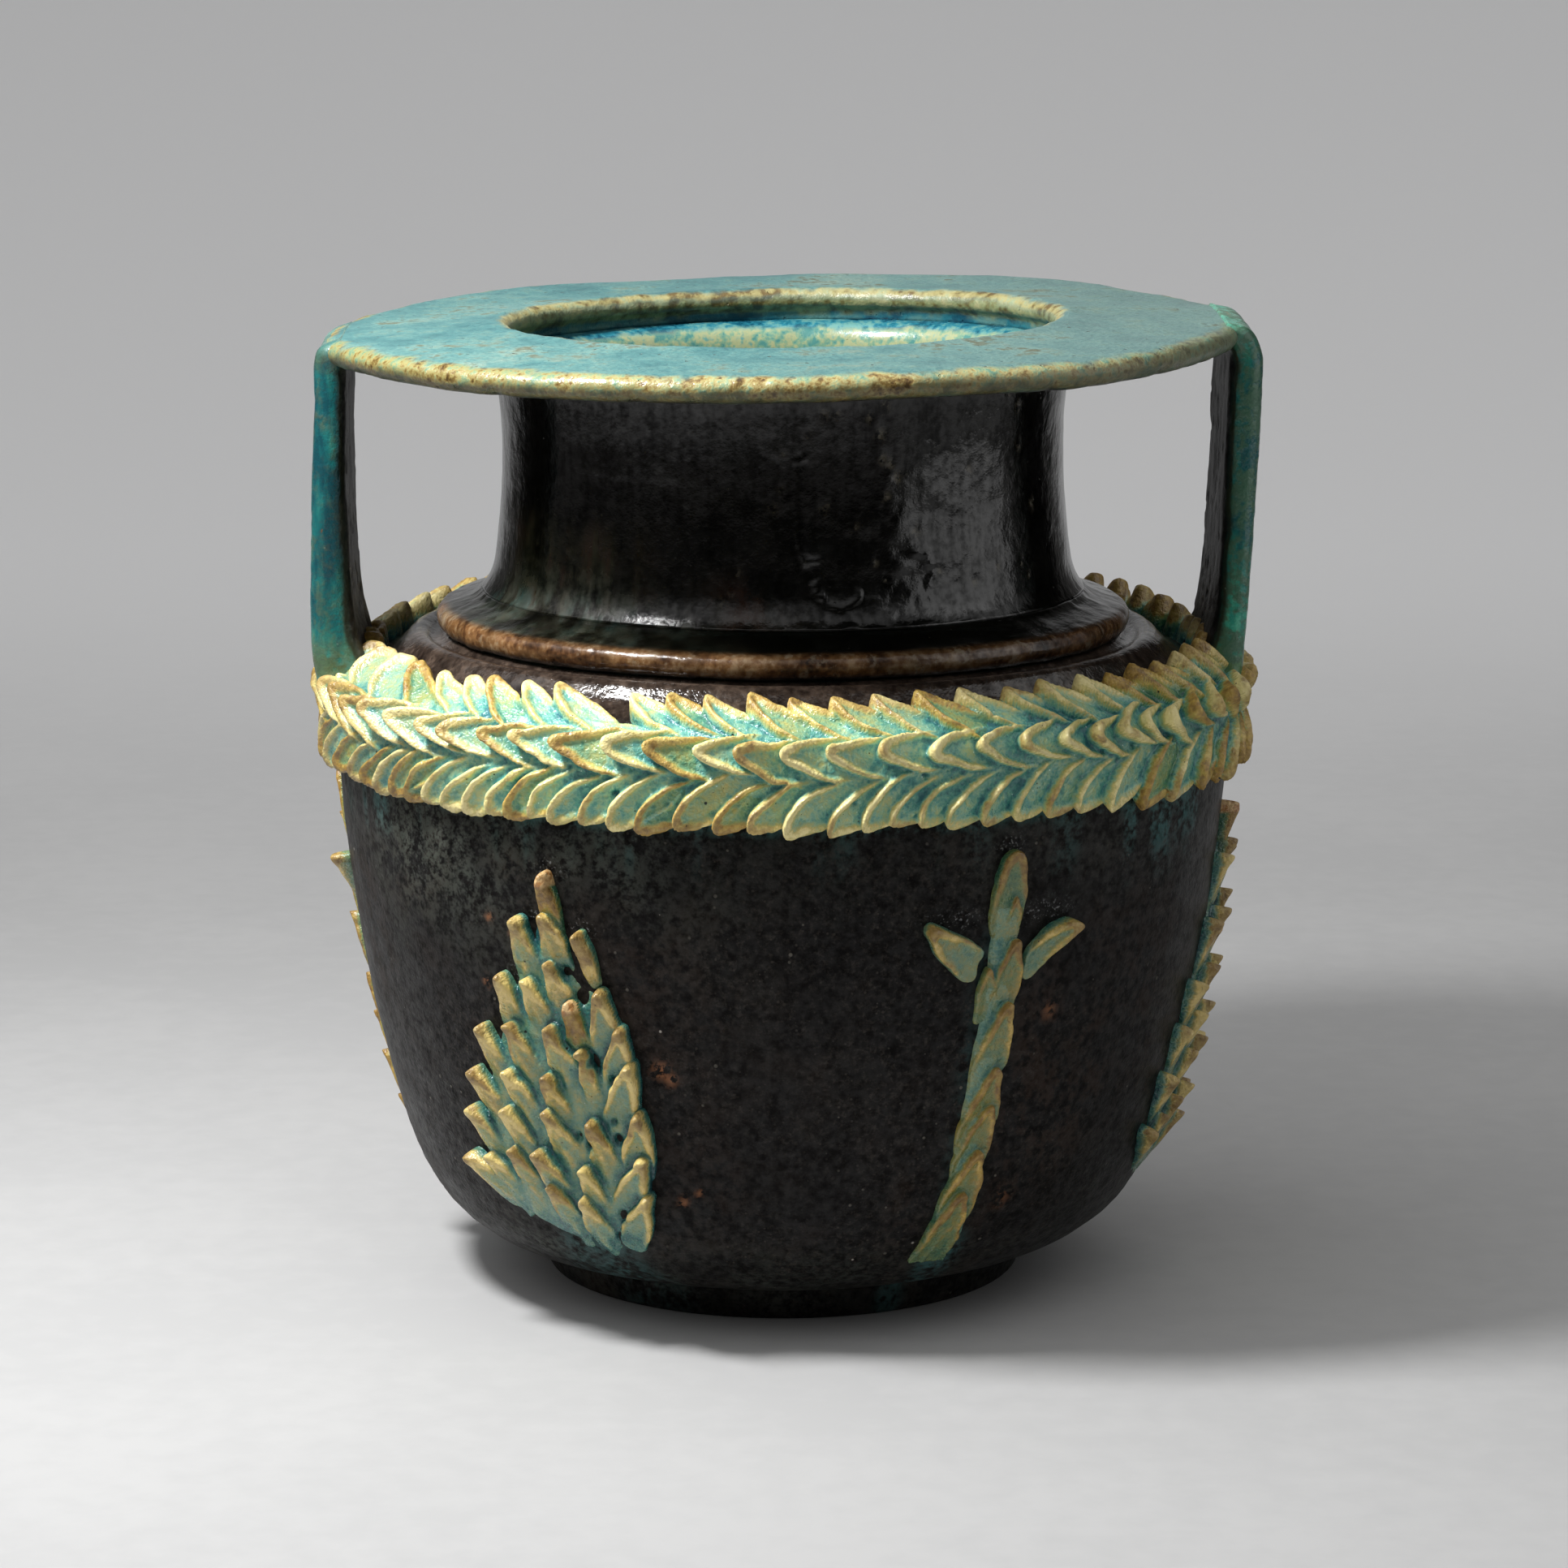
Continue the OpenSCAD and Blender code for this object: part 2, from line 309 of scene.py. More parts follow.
def round_outline(pts, n=3):
    """Cut the corners of a closed outline n times, so that it runs smoothly."""
    p = np.array(pts, float)
    for _ in range(n):
        q = np.roll(p, -1, 0)
        p = np.stack([0.75 * p + 0.25 * q, 0.25 * p + 0.75 * q], 1).reshape(-1, 2)
    return p


class Patch:
    """A relief: heights over a stretch of the jar's surface. The surface is a line of
    (radius, height) followed by t, and directions a in degrees, 0 to the front, + to the right."""

    def __init__(self, radius, height, a0, a1, t0, t1, cell, k, ground, wrap=False):
        self.radius, self.height, self.k, self.wrap, self.cell = radius, height, k, wrap, cell
        na = int(round((a1 - a0) * k / cell))
        if wrap:
            na = 2 * (na // 2)
            self.a = a0 + (a1 - a0) * np.arange(na) / na
        else:
            self.a = np.linspace(a0, a1, na + 1)
        self.t = np.linspace(t0, t1, int(round((t1 - t0) / cell)) + 1)
        self.da = self.a[1] - self.a[0]
        self.dt = self.t[1] - self.t[0]
        self.A, self.T = np.meshgrid(self.a, self.t)
        self.h = ground(self.A, self.T)
        self.tip = np.zeros_like(self.h)
        self.odd = np.zeros_like(self.h)
        self.ux, self.uy = np.zeros_like(self.h), np.zeros_like(self.h)
        # the leaves were shaped by hand: their outlines wander a little
        Q = np.stack([self.A * k, self.T, 0 * self.T + a0], -1).reshape(-1, 3)
        self.wx = (0.34 * noise(Q, 3.4, 301) + 0.14 * noise(Q, 1.3, 302)).reshape(self.A.shape)
        self.wy = (0.34 * noise(Q, 3.4, 303) + 0.14 * noise(Q, 1.3, 304)).reshape(self.A.shape)
        self.fat = (1 + 0.22 * noise(Q, 4.2, 305) + 0.12 * noise(Q, 1.8, 306)).reshape(self.A.shape)

    def cols(self, a_lo, a_hi):
        i0 = int(math.floor((a_lo - self.a[0]) / self.da))
        i1 = int(math.ceil((a_hi - self.a[0]) / self.da)) + 1
        if self.wrap:
            return np.arange(i0, i1) % len(self.a), self.a[0] + self.da * np.arange(i0, i1)
        i0, i1 = max(i0, 0), min(i1, len(self.a))
        return np.arange(i0, i1), self.a[i0:i1]

    def leaf(self, az, t, outline, root, tip, hr, ht, w=0.75, dep=0.8, rot=0.0, size=1.0, k=None,
             wall=6.0, odd=0.0, power=1.25, wide=1.5, blunt=0.0, keel=0.0):
        k = k or self.k
        c, s = math.cos(math.radians(rot)), math.sin(math.radians(rot))
        R = np.array([[c, -s], [s, c]])
        o = round_outline(np.asarray(outline, float) * size, 1) @ R.T
        root = R @ (np.array(root, float) * size)
        tip = R @ (np.array(tip, float) * size)
        lo, hi = o.min(0) - 1.3, o.max(0) + 1.3
        ci, av = self.cols(az + lo[0] / k, az + hi[0] / k)
        r0 = max(0, int((t + lo[1] - self.t[0]) / self.dt))
        r1 = min(len(self.t), int((t + hi[1] - self.t[0]) / self.dt) + 2)
        if r1 <= r0 or len(ci) == 0:
            return
        X = (av[None, :] - az) * k + 0 * self.t[r0:r1, None]
        Y = self.t[r0:r1, None] - t + 0 * av[None, :]
        ix = np.ix_(np.arange(r0, r1), ci)
        X = X + self.wx[ix]
        Y = Y + self.wy[ix]
        d = edge_distance(X, Y, o)
        ax = tip - root
        u = np.clip(((X - root[0]) * ax[0] + (Y - root[1]) * ax[1]) / (ax @ ax), 0, 1.1)
        d = d - 0.25 * smooth(u, 0.55, 1.0)
        w = w * (0.62 + 0.50 * u ** 1.5) * self.fat[ix]
        crest = hr + (ht - hr) * u ** power
        if blunt > 0:
            crest = crest - blunt * smooth(u, 0.9, 1.02)
        q = np.clip(d / w, 0, 1)
        prof = np.where(d < 0, wall * d, 0.0) - 0.85 * w * (1 - np.sqrt(np.maximum(0, 1 - (1 - q) ** 2)))
        prof = prof - dep * smooth(d, 0.8 * w, 0.8 * w + wide) * (0.62 + 0.50 * smooth(u, 0.1, 0.7))
        if keel:
            # a ridge along the middle, falling off to both sides like a roof
            side = ((X - root[0]) * ax[1] - (Y - root[1]) * ax[0]) / math.hypot(ax[0], ax[1])
            prof = prof - keel * (np.sqrt(side ** 2 + 0.35 ** 2) - 0.35) * (d > 0)
        # the tip swells a little
        b = crest + prof + 0.35 * np.exp(-((X - tip[0]) ** 2 + (Y - tip[1]) ** 2) / 1.1 ** 2) * (d > 0)
        a = self.h[ix]
        kk = 0.45
        self.h[ix] = np.maximum(a, b) + np.maximum(kk - np.abs(a - b), 0) ** 2 / (4 * kk)
        won = b > a
        self.tip[ix] = np.where(won, smooth(u, 0.72, 1.0), self.tip[ix])
        self.odd[ix] = np.where(won, odd, self.odd[ix])
        point = smooth(u, 0.3, 0.9) / math.hypot(ax[0], ax[1])
        self.ux[ix] = np.where(won, ax[0] * point, self.ux[ix])
        self.uy[ix] = np.where(won, ax[1] * point, self.uy[ix])

    def points(self, h, da=0.0, dt=0.0):
        a = np.radians(self.A + da)
        t = self.T + dt
        r, z = self.radius(t), self.height(t)
        e = 0.2
        dr, dz = self.radius(t + e) - self.radius(t - e), self.height(t + e) - self.height(t - e)
        L = np.hypot(dr, dz)
        nr, nz = dz / L, -dr / L
        rr = r + nr * h
        return np.stack([rr * np.sin(a), -rr * np.cos(a), z + nz * h], -1)

    def finish(self, soft=0.25, lump=0.12, hang=0.3, seed=5, base=0.0, lean=0.4):
        """Soften the heights, then let the proud edges, and most of all the tips, lean out over
        what lies below them."""
        cy, cx = self.dt, self.da * self.k
        self.h = blur(self.h, soft / cy, soft / cx, self.wrap)
        P = self.points(self.h).reshape(-1, 3)
        n = fbm(P, 2.6, seed, 3).reshape(self.h.shape)
        n2 = noise(P, 5.5, seed + 9).reshape(self.h.shape)
        self.h = self.h + lump * (n + 0.8 * n2)
        g = blur(self.h, 0.5 / cy, 0.5 / cx, self.wrap)
        gy = np.gradient(g, cy, axis=0)
        if self.wrap:
            gx = (np.roll(g, -1, 1) - np.roll(g, 1, 1)) / (2 * cx)
        else:
            gx = np.gradient(g, cx, axis=1)
        gl = np.hypot(gx, gy)
        low = lowest(self.h, int(1.3 / cy), int(1.3 / cx), self.wrap)
        up = np.clip(self.h - low, 0, 3.0)
        amt = hang * up * np.minimum(1, gl / 0.8) / np.maximum(gl, 1e-6)
        sx, sy = -gx * amt + lean * up * self.ux, -gy * amt + lean * up * self.uy
        sx = blur(sx, 0.3 / cy, 0.3 / cx, self.wrap)
        sy = blur(sy, 0.3 / cy, 0.3 / cx, self.wrap)
        self.sa, self.st = sx / self.k, sy
        hc = np.maximum(self.h, base)
        # ridge is high on crests and low in hollows, lowest in broad hollows; the leaf glaze colours crests cream,
        # hollows turquoise where glaze pools, and the broad hollows darkest as painted shade
        fine = hc - blur(hc, 0.85 / cy, 0.85 / cx, self.wrap)
        broad = hc - blur(hc, 2.4 / cy, 2.4 / cx, self.wrap)
        self.ridge = np.clip(np.where(fine > 0, fine / 0.42, fine / 1.0), -0.35, 1) - 0.8 * np.clip(-broad / 1.4, 0, 1)
        self.verts = self.points(self.h, self.sa, self.st)

    def strip(self, name, c0, c1, back, back_rows=7):
        """A closed piece from the columns c0 to c1 of a patch that goes all the way round."""
        n = len(self.a)
        cols = np.arange(c0, c1 + 1) % n
        F = self.verts[:, cols]
        B = self.points(np.full_like(self.h, back))
        rows = np.linspace(0, len(self.t) - 1, back_rows).round().astype(int)[::-1]
        Bk = B[rows][:, cols]
        V = np.vstack([F.reshape(-1, 3), Bk.reshape(-1, 3)])
        m, w = len(self.t) + back_rows, len(cols)
        i = np.arange(m)[:, None]
        j = np.arange(w - 1)[None, :]
        i2 = (i + 1) % m
        q = np.stack([i * w + j, i * w + j + 1, i2 * w + j + 1, i2 * w + j], -1).reshape(-1, 4)
        left = [int(x) for x in np.arange(m) * w]
        right = [int(x) for x in (np.arange(m) * w + w - 1)[::-1]]
        ex = lambda A, fill: np.concatenate([A[:, cols].reshape(-1), np.full(back_rows * w, fill)])
        masks = {"ridge": ex(self.ridge, -1.0), "tip": ex(self.tip, 0.0), "odd": ex(self.odd, 0.0)}
        return quad_mesh(name, V, q, [left, right], masks)

    def sprig(self, name, back, show):
        """A closed piece from the cells that stand higher than show."""
        up = self.h > show
        cell = up[:-1, :-1] | up[1:, :-1] | up[:-1, 1:] | up[1:, 1:]
        for _ in range(6):
            c = np.pad(cell, 1)
            a, b, d, e = c[:-1, :-1], c[:-1, 1:], c[1:, :-1], c[1:, 1:]
            x1 = a & e & ~b & ~d
            x2 = b & d & ~a & ~e
            if not (x1.any() or x2.any()):
                break
            c[:-1, 1:] |= x1
            c[:-1, :-1] |= x2
            cell = c[1:-1, 1:-1]
        ny, nx = self.h.shape
        used = np.zeros((ny, nx), bool)
        used[:-1, :-1] |= cell
        used[1:, :-1] |= cell
        used[:-1, 1:] |= cell
        used[1:, 1:] |= cell
        idx = np.full((ny, nx), -1)
        idx[used] = np.arange(used.sum())
        nf = int(used.sum())
        inner = np.zeros((ny, nx), bool)
        c = np.pad(cell, 1)
        inner = c[:-1, :-1] & c[:-1, 1:] & c[1:, :-1] & c[1:, 1:]
        B = self.points(np.full_like(self.h, back))
        V = np.vstack([self.verts[used], B[used]])
        iy, ix = np.nonzero(cell)
        f = np.stack([idx[iy, ix], idx[iy, ix + 1], idx[iy + 1, ix + 1], idx[iy + 1, ix]], -1)
        quads = [f, f[:, ::-1] + nf]
        c = np.pad(cell, 1)
        core = c[1:-1, 1:-1]
        for dy, dx, e0, e1 in ((-1, 0, (0, 1), (0, 0)), (1, 0, (1, 0), (1, 1)), (0, -1, (0, 0), (1, 0)), (0, 1, (1, 1), (0, 1))):
            out = core & ~c[1 + dy:c.shape[0] - 1 + dy, 1 + dx:c.shape[1] - 1 + dx]
            yy, xx = np.nonzero(out)
            p0, p1 = idx[yy + e0[0], xx + e0[1]], idx[yy + e1[0], xx + e1[1]]
            quads.append(np.stack([p0, p1, p1 + nf, p0 + nf], -1))
        ex = lambda A, fill: np.concatenate([A[used], np.full(nf, fill)])
        masks = {"ridge": ex(self.ridge, -1.0), "tip": ex(self.tip, 0.0), "odd": ex(self.odd, 0.0)}
        return quad_mesh(name, V, np.vstack(quads), (), masks)


# ---------------------------------------------------------------- the turned bodies
def polar(P):
    """Direction in degrees (0 to the front, + to the right), radius and height."""
    return np.degrees(np.arctan2(P[:, 0], -P[:, 1])), np.hypot(P[:, 0], P[:, 1]), P[:, 2]


def hump(a, z, a0, z0, wa, wz):
    """A smooth spot, 1 at its centre; wa in degrees and wz in mm are its spreads."""
    d = (a - a0 + 180) % 360 - 180
    return np.exp(-(d / wa) ** 2 - ((z - z0) / wz) ** 2)


def n01(P, scale, seed, octaves=3):
    return 0.5 + 0.5 * np.clip(fbm(P, scale, seed, octaves) * 1.5, -1, 1)


def stretched(P, f=0.25):
    """The same points with their heights squeezed, for marks that run down the wall."""
    Q = P.copy()
    Q[:, 2] *= f
    return Q


RIGHT_AZ, BACK_AZ = 82.0, -156.0
CLUSTER_AZ = [-33.5, RIGHT_AZ, BACK_AZ]
STALK_AZ = [26.5, 144.0, -97.0]


def body_shape(P, N, inside):
    a, r, z = polar(P)
    d = 0.10 * noise(P, 16, 3) + 0.05 * noise(P, 5, 4) + 0.02 * noise(P, 2.2, 5)
    d = d + 0.16 * noise(stretched(P, 3.0), 45, 6) * smooth(z, 20, 60) * (1 - smooth(z, 100, 112))
    # turning ridges low on the bowl
    d = d + 0.05 * np.sin(z * 1.9 + 2 * noise(P, 30, 8)) * (1 - smooth(z, 25, 45))
    # a few burst bubbles
    for a0, z0, s, h in ((-17.0, 57.5, 1.1, -0.35), (-15.6, 55.8, 0.8, -0.3), (-42.5, 71, 0.8, -0.25), (-15.2, 30.5, 0.9, -0.25),
                         (8, 88, 0.7, -0.2), (41, 62, 1.0, -0.2), (36, 33, 1.2, -0.25), (-4, 41, 0.8, -0.2), (62, 90, 0.9, -0.2),
                         (120, 60, 1.1, -0.3), (-120, 75, 1.0, -0.3), (170, 44, 1.0, -0.3)):
        d = d + h * hump(a, z, a0, z0, s / r.clip(20) * 57.3, s)
    return np.where(inside, 0.25 * noise(P, 9, 12), d) * smooth(z, 0.3, 4)


def body_masks(P, N, inside):
    a, r, z = polar(P)
    n = n01(P, 14, 21)
    nf = n01(P, 4, 22)
    run = n01(stretched(P, 0.15), 5, 23)
    left = np.exp(-((a + 55) / 38) ** 2)
    haze = smooth(z, 80, 106) * (0.25 + 0.9 * left + 0.35 * np.exp(-((a - 50) / 20) ** 2)) * (0.35 + 0.9 * n * run)
    haze = haze + 0.55 * left * smooth(n, 0.45, 0.8) * smooth(z, 60, 95)
    haze = haze + 0.7 * (1 - smooth(z, 14, 24)) * n * (0.4 + 0.6 * nf)
    turq = 0.95 * smooth(z, 102.5, 105.5) * (1 - smooth(z, 108, 110)) * (0.4 + 0.6 * nf)
    turq = turq + smooth(z, 84, 104) * smooth(run, 0.42, 0.75) * 1.0 * np.exp(-((a - 56) / 16) ** 2)
    turq = turq + smooth(z, 92, 104) * smooth(run, 0.5, 0.85) * 0.55 * (0.35 + left)
    for k, c in enumerate(CLUSTER_AZ):
        w = 10 - 3.5 * smooth(z, 6, 20)
        spot = np.exp(-(((a - c - 2 + 180) % 360 - 180) / w) ** 4) * (1 - smooth(z, 18, 24))
        turq = turq + spot * (0.30 + 0.85 * run * nf) * (0.35 + 0.65 * smooth(z, 6, 11))
        haze = haze + 0.5 * np.exp(-(((a - c + 180) % 360 - 180) / 15) ** 2) * (1 - smooth(z, 22, 34)) * n
    for k, c in enumerate(STALK_AZ):
        spot = np.exp(-(((a - c + 1.5 + 180) % 360 - 180) / 3.6) ** 4) * (1 - smooth(z, 18, 24))
        turq = turq + spot * (0.35 + 0.9 * run * nf) * (0.25 + 0.75 * smooth(z, 6, 11))
        line_ = np.exp(-(((a - c + 0.5 - (z - 55) * 0.045 + 180) % 360 - 180) / 3.2) ** 4) * (1 - smooth(z, 74, 90))
        turq = turq + 0.45 * line_ * nf
    brown = smooth(n01(P, 24, 31), 0.45, 0.8) * (0.25 + 0.9 * np.exp(-((a - 38) / 26) ** 2 - ((z - 48) / 30) ** 2) + 0.45 * left)
    brown = brown + 0.7 * smooth(n01(P, 8, 33), 0.62, 0.9) * np.exp(-((a + 58) / 14) ** 2 - ((z - 40) / 30) ** 2)
    rust = sum(h * hump(a, z, a0, z0, s / 75 * 57.3, s) for a0, z0, s, h in
               ((-17.2, 57.5, 1.3, 1.0), (-15.8, 55.6, 0.9, 0.9), (-42.5, 71, 0.8, 0.8), (-15.4, 30.6, 0.8, 0.8), (36, 66, 1.2, 0.6),
                (-13, 32.5, 0.6, 0.6), (33, 28.5, 1.6, 0.4), (-41, 84, 0.7, 0.7), (-37.2, 81.7, 0.6, 0.9)))
    # above some leaf tips the glaze is rough: a dark halo, with pale specks that are painted glints
    frit = sum(h * hump(a, z, a0, z0, wa, wz) for a0, z0, wa, wz, h in
               ((-31, 95.2, 1.6, 1.5, 1.0), (-26.8, 84.2, 1.5, 1.4, 1.0), (28, 99.8, 1.6, 1.6, 0.9), (20.5, 86.2, 3.2, 1.5, 1.0),
                (34, 86.4, 2.8, 1.6, 1.0), (-36.5, 74.0, 1.6, 1.2, 0.6), (-33.6, 85.6, 1.2, 1.0, 0.7)))
    haze, turq = haze * (1 - smooth(z, 110, 116)), turq * (1 - smooth(z, 110, 116))
    return {"haze": np.clip(haze, 0, 1), "turq": np.clip(turq, 0, 1), "brown": np.clip(brown, 0, 1), "rust": np.clip(rust, 0, 1),
            "frit": np.clip(frit, 0, 1) * 0.6, "inner": np.where(inside, 1.0, 0.0), "gloss": smooth(z, 121.0, 124.5)}


def collar_shape(P, N, inside):
    a, r, z = polar(P)
    Q = P.copy()
    return np.where(inside, 0.1 * noise(P, 8, 41), 0.13 * noise(P, 5.0, 42) + 0.06 * noise(P, 2.0, 43) + 0.03 * noise(P, 0.9, 44))


def collar_masks(P, N, inside):
    a, r, z = polar(P)
    bead = smooth(z, 129.2, 130.2) * (1 - smooth(z, 133.2, 134.4)) * smooth(r, 65, 66.5)
    n = n01(P, 6, 45)
    left = np.exp(-((a + 50) / 26) ** 2)
    grey = (1 - bead) * left * n
    return {"bead": bead * (0.45 + 0.75 * n), "olive": np.clip(grey, 0, 1) * 0.8, "pale": bead * smooth(n01(P, 2.2, 46), 0.68, 0.85) * 0.6,
            "haze": grey * 0.4, "turq": grey * 0.25 * n01(P, 2, 47), "inner": np.where(inside, 1.0, 0.0)}


SCARS = [(4.6, 154.6, 2.5, 4.9, 140, 300), (9.8, 145.2, 4.0, 4.2, 150, 360), (25.5, 147.0, 3.4, 3.6, 300, 480), (2.2, 169.6, 1.2, 1.3, 200, 380)]


def neck_shape(P, N, inside):
    a, r, z = polar(P)
    d = 0.06 * noise(stretched(P, 2.0), 9, 51) + 0.040 * noise(P, 2.4, 52) + 0.018 * noise(P, 1.1, 50)
    right = np.exp(-((a - 27) / 16) ** 2 - ((z - 152) / 18) ** 2)
    d = d + right * (0.24 * noise(P, 6.5, 53) + 0.15 * noise(P, 2.6, 54) + 0.04 * noise(P, 1.3, 59))
    low = np.exp(-((a - 16) / 20) ** 2) * (1 - smooth(z, 140, 148))
    d = d + low * 0.14 * noise(P, 1.6, 55)
    for a0, z0, wa, wz, f, t in SCARS:
        da = (a - a0) * r / 57.3
        dz = z - z0
        rho = np.hypot(da / wa, dz / wz)
        ang = np.degrees(np.arctan2(dz, da)) % 360
        arc = smooth((ang - f) % 360, 0, 25) * (1 - smooth((ang - f) % 360, (t - f) - 25, (t - f)))
        wob = 1 + 0.18 * noise(P, 1.1, 56)
        d = d + 0.42 * arc * np.exp(-((rho * wob - 1) / 0.13) ** 2) - 0.10 * np.exp(-(rho / 0.75) ** 4)
    for k in range(34):
        a0 = -14 + 75 * float(lattice(np.array([k]), np.array([1]), np.array([0]), 7)[0])
        z0 = 142 + 38 * float(lattice(np.array([k]), np.array([2]), np.array([0]), 7)[0])
        s = 0.45 + 0.45 * float(lattice(np.array([k]), np.array([3]), np.array([0]), 7)[0])
        h = hump(a, z, a0, z0, s / 55 * 57.3, s * 1.4)
        d = d - 0.12 * h + 0.04 * hump(a, z, a0, z0 - 0.9 * s, s * 1.5 / 55 * 57.3, s)
    return np.where(inside, 0.12 * noise(P, 4, 57) * smooth(z, 137, 150), d * smooth(183.5 - z, 0.5, 3))


def neck_masks(P, N, inside):
    a, r, z = polar(P)
    run = n01(stretched(P, 0.12), 3.5, 61)
    n = n01(P, 7, 62)
    left = np.exp(-((a + 52) / 20) ** 4)
    olive = left * smooth(158.5 - z + 5 * (run - 0.5), 0, 9) * (0.35 + 0.8 * run)
    olive = olive + 0.35 * np.exp(-((a + 20) / 26) ** 2) * (1 - smooth(z, 139, 150)) * run
    brown = 1.0 * hump(a, z, -8, 139.5, 6.5, 5.5) * n + 0.6 * left * smooth(run, 0.55, 0.8) * (1 - smooth(z, 146, 158))
    haze = 1.1 * left * (1 - smooth(z, 140, 148)) * n + 0.35 * np.exp(-((a + 30) / 20) ** 2) * (1 - smooth(z, 138, 143)) * n
    pale = np.zeros(len(z))
    for k in range(34):
        a0 = -14 + 75 * float(lattice(np.array([k]), np.array([1]), np.array([0]), 7)[0])
        z0 = 142 + 38 * float(lattice(np.array([k]), np.array([2]), np.array([0]), 7)[0])
        s = 0.45 + 0.45 * float(lattice(np.array([k]), np.array([3]), np.array([0]), 7)[0])
        pale = np.maximum(pale, 0.5 * hump(a, z, a0, z0 - 0.4, s / 55 * 57.3, s * 1.3) * (0.35 + 0.65 * smooth(a, 0, 20)))
    turq = 0.6 * left * (1 - smooth(z, 138, 142)) * run
    # inside: a pool of blue in the cove under the lip, a pale ledge below it
    wv = 0.5 * noise(P, 4, 63) + 0.3 * noise(P, 1.7, 64)
    cove = np.where(inside, smooth(z + wv, 181.6, 182.5), 0.0)
    ledge = np.where(inside, smooth(z, 174.0, 177.5) * (1 - smooth(z + wv, 181.6, 182.5)), 0.0)
    return {"olive": np.clip(olive, 0, 1), "brown": np.clip(brown, 0, 1), "haze": np.clip(haze, 0, 1), "turq": np.clip(turq, 0, 1),
            "pale": np.clip(pale, 0, 1), "inner": np.where(inside, 1.0, 0.0), "cove": cove, "ledge": ledge}


def rim_shape(P, N, inside):
    a, r, z = polar(P)
    edge = smooth(r, 84, 89)
    top = smooth(N[:, 2], 0.5, 0.9)
    d = 0.05 * noise(P, 6, 71) + edge * (0.22 * noise(P, 9, 72) + 0.12 * noise(P, 3.2, 73) + 0.05 * noise(P, 1.2, 74))
    d = d + top * (0.10 * noise(P, 18, 75) + 0.035 * noise(P, 2.6, 76))
    lip = (1 - smooth(r, 56.5, 59)) * smooth(z, 184, 187)
    d = d + lip * (0.12 * noise(P, 5, 77) + 0.06 * noise(P, 1.8, 78))
    for a0, z0, s, h in ((-18.5, 184.6, 1.5, -0.6), (33, 184.4, 1.8, -0.7), (10, 185.5, 1.3, -0.35), (-2, 187.2, 1.2, 0.35), (-6.5, 187.5, 1.0, 0.3),
                         (52, 184.6, 1.5, -0.5), (-38, 184.2, 1.6, -0.5), (14.5, 186.5, 1.1, 0.3), (150, 185, 2.0, -0.6), (-140, 185, 1.8, -0.6),
                         (100, 184.5, 1.6, -0.5), (178, 187, 1.5, 0.3)):
        d = d + h * hump(a, z, a0, z0, s / 89 * 57.3, s) * edge
    return d


def rim_masks(P, N, inside):
    a, r, z = polar(P)
    n = n01(P, 7, 81)
    nf = n01(P, 2.4, 82)
    w = 1.6 * (n - 0.5) + 1.3 * (nf - 0.5)
    edge = smooth(r + 1.5 * w, 85.9, 88.4)
    right = smooth(a, 20, 75) * (1 - smooth(a, 100, 130))
    edge = edge * (1 - 0.55 * right * n)
    lip = (1 - smooth(r + 0.8 * w, 54.3, 55.8)) * smooth(z + 0.5 * w, 187.9, 188.9)
    under = (1 - smooth(z, 183.4, 184.3)) * smooth(r, 58, 62)
    cove = (1 - smooth(r, 57.5, 58.5)) * (1 - smooth(z + 0.5 * w, 184.7, 185.5))
    wall = (1 - smooth(r, 57.5, 58.5)) * (1 - smooth(z + 0.5 * w, 187.9, 188.8))
    # low: the lower half of the edge where it turns under, which the glaze paints dark olive-brown as painted shade
    return {"edge": np.clip(edge, 0, 1), "lip": np.clip(lip, 0, 1), "under": under, "cove": cove, "low": edge * (1 - smooth(z + 0.8 * w, 184.8, 187.2)),
            "green": right, "wall": wall}


pieces = {}
pieces["bowl"] = turn_solid("bowl_piece", [(0, 7.0), (40, 7.0), (47.5, 6.95)] + BOWL,
                            [(80.9, 112), (80.4, 96), (79.2, 84), (77.5, 70), (75.2, 57), (72.5, 45), (69.8, 35), (67, 27),
                             (63.5, 21), (57, 17.5), (50, 15), (40, 13.5), (0, 13.5)], 640, 1.15, 5.0, body_shape, body_masks)
pieces["foot_ring"] = turn_solid("foot_ring_piece",
                                 [(39, 0.0), (42.5, 0.0), (46.2, 0.0), (46.9, 0.25), (47.3, 0.8), (47.6, 1.6), (48.2, 3.2), (48.7, 4.8), (49.0, 6.2), (49.4, 7.05)],
                                 [(38, 7.0), (38, 1.2)], 480, 0.7, 2.0, body_shape, body_masks)
pieces["shoulder"] = turn_solid("shoulder_piece",
                                [(87.4, 112), (87.1, 115), (86.0, 118), (84.0, 120.5), (81.2, 122.5), (78.2, 124.2), (76.0, 125.7),
                                 (74.6, 127.1), (73.2, 128.4), (71.5, 128.9), (70.1, 128.4), (69.2, 127.5), (67.8, 127.6), (66.4, 128.6)],
                                [(50, 128.6), (50, 122.1), (64, 121.5), (72, 118.1), (77, 114.5), (80.9, 112)], 760, 0.6, 3.0, body_shape, body_masks)
pieces["collar_ring"] = turn_solid("collar_ring_piece",
                                   [(65.0, 128.5), (66.6, 129.0), (67.6, 129.9), (68.1, 131.4), (67.8, 132.8), (66.8, 133.7),
                                    (65.0, 134.3), (62.4, 135.2), (60.4, 136.1), (59.3, 137.0)],
                                   [(50, 137), (50, 128.6)], 800, 0.5, 2.0, collar_shape, collar_masks)
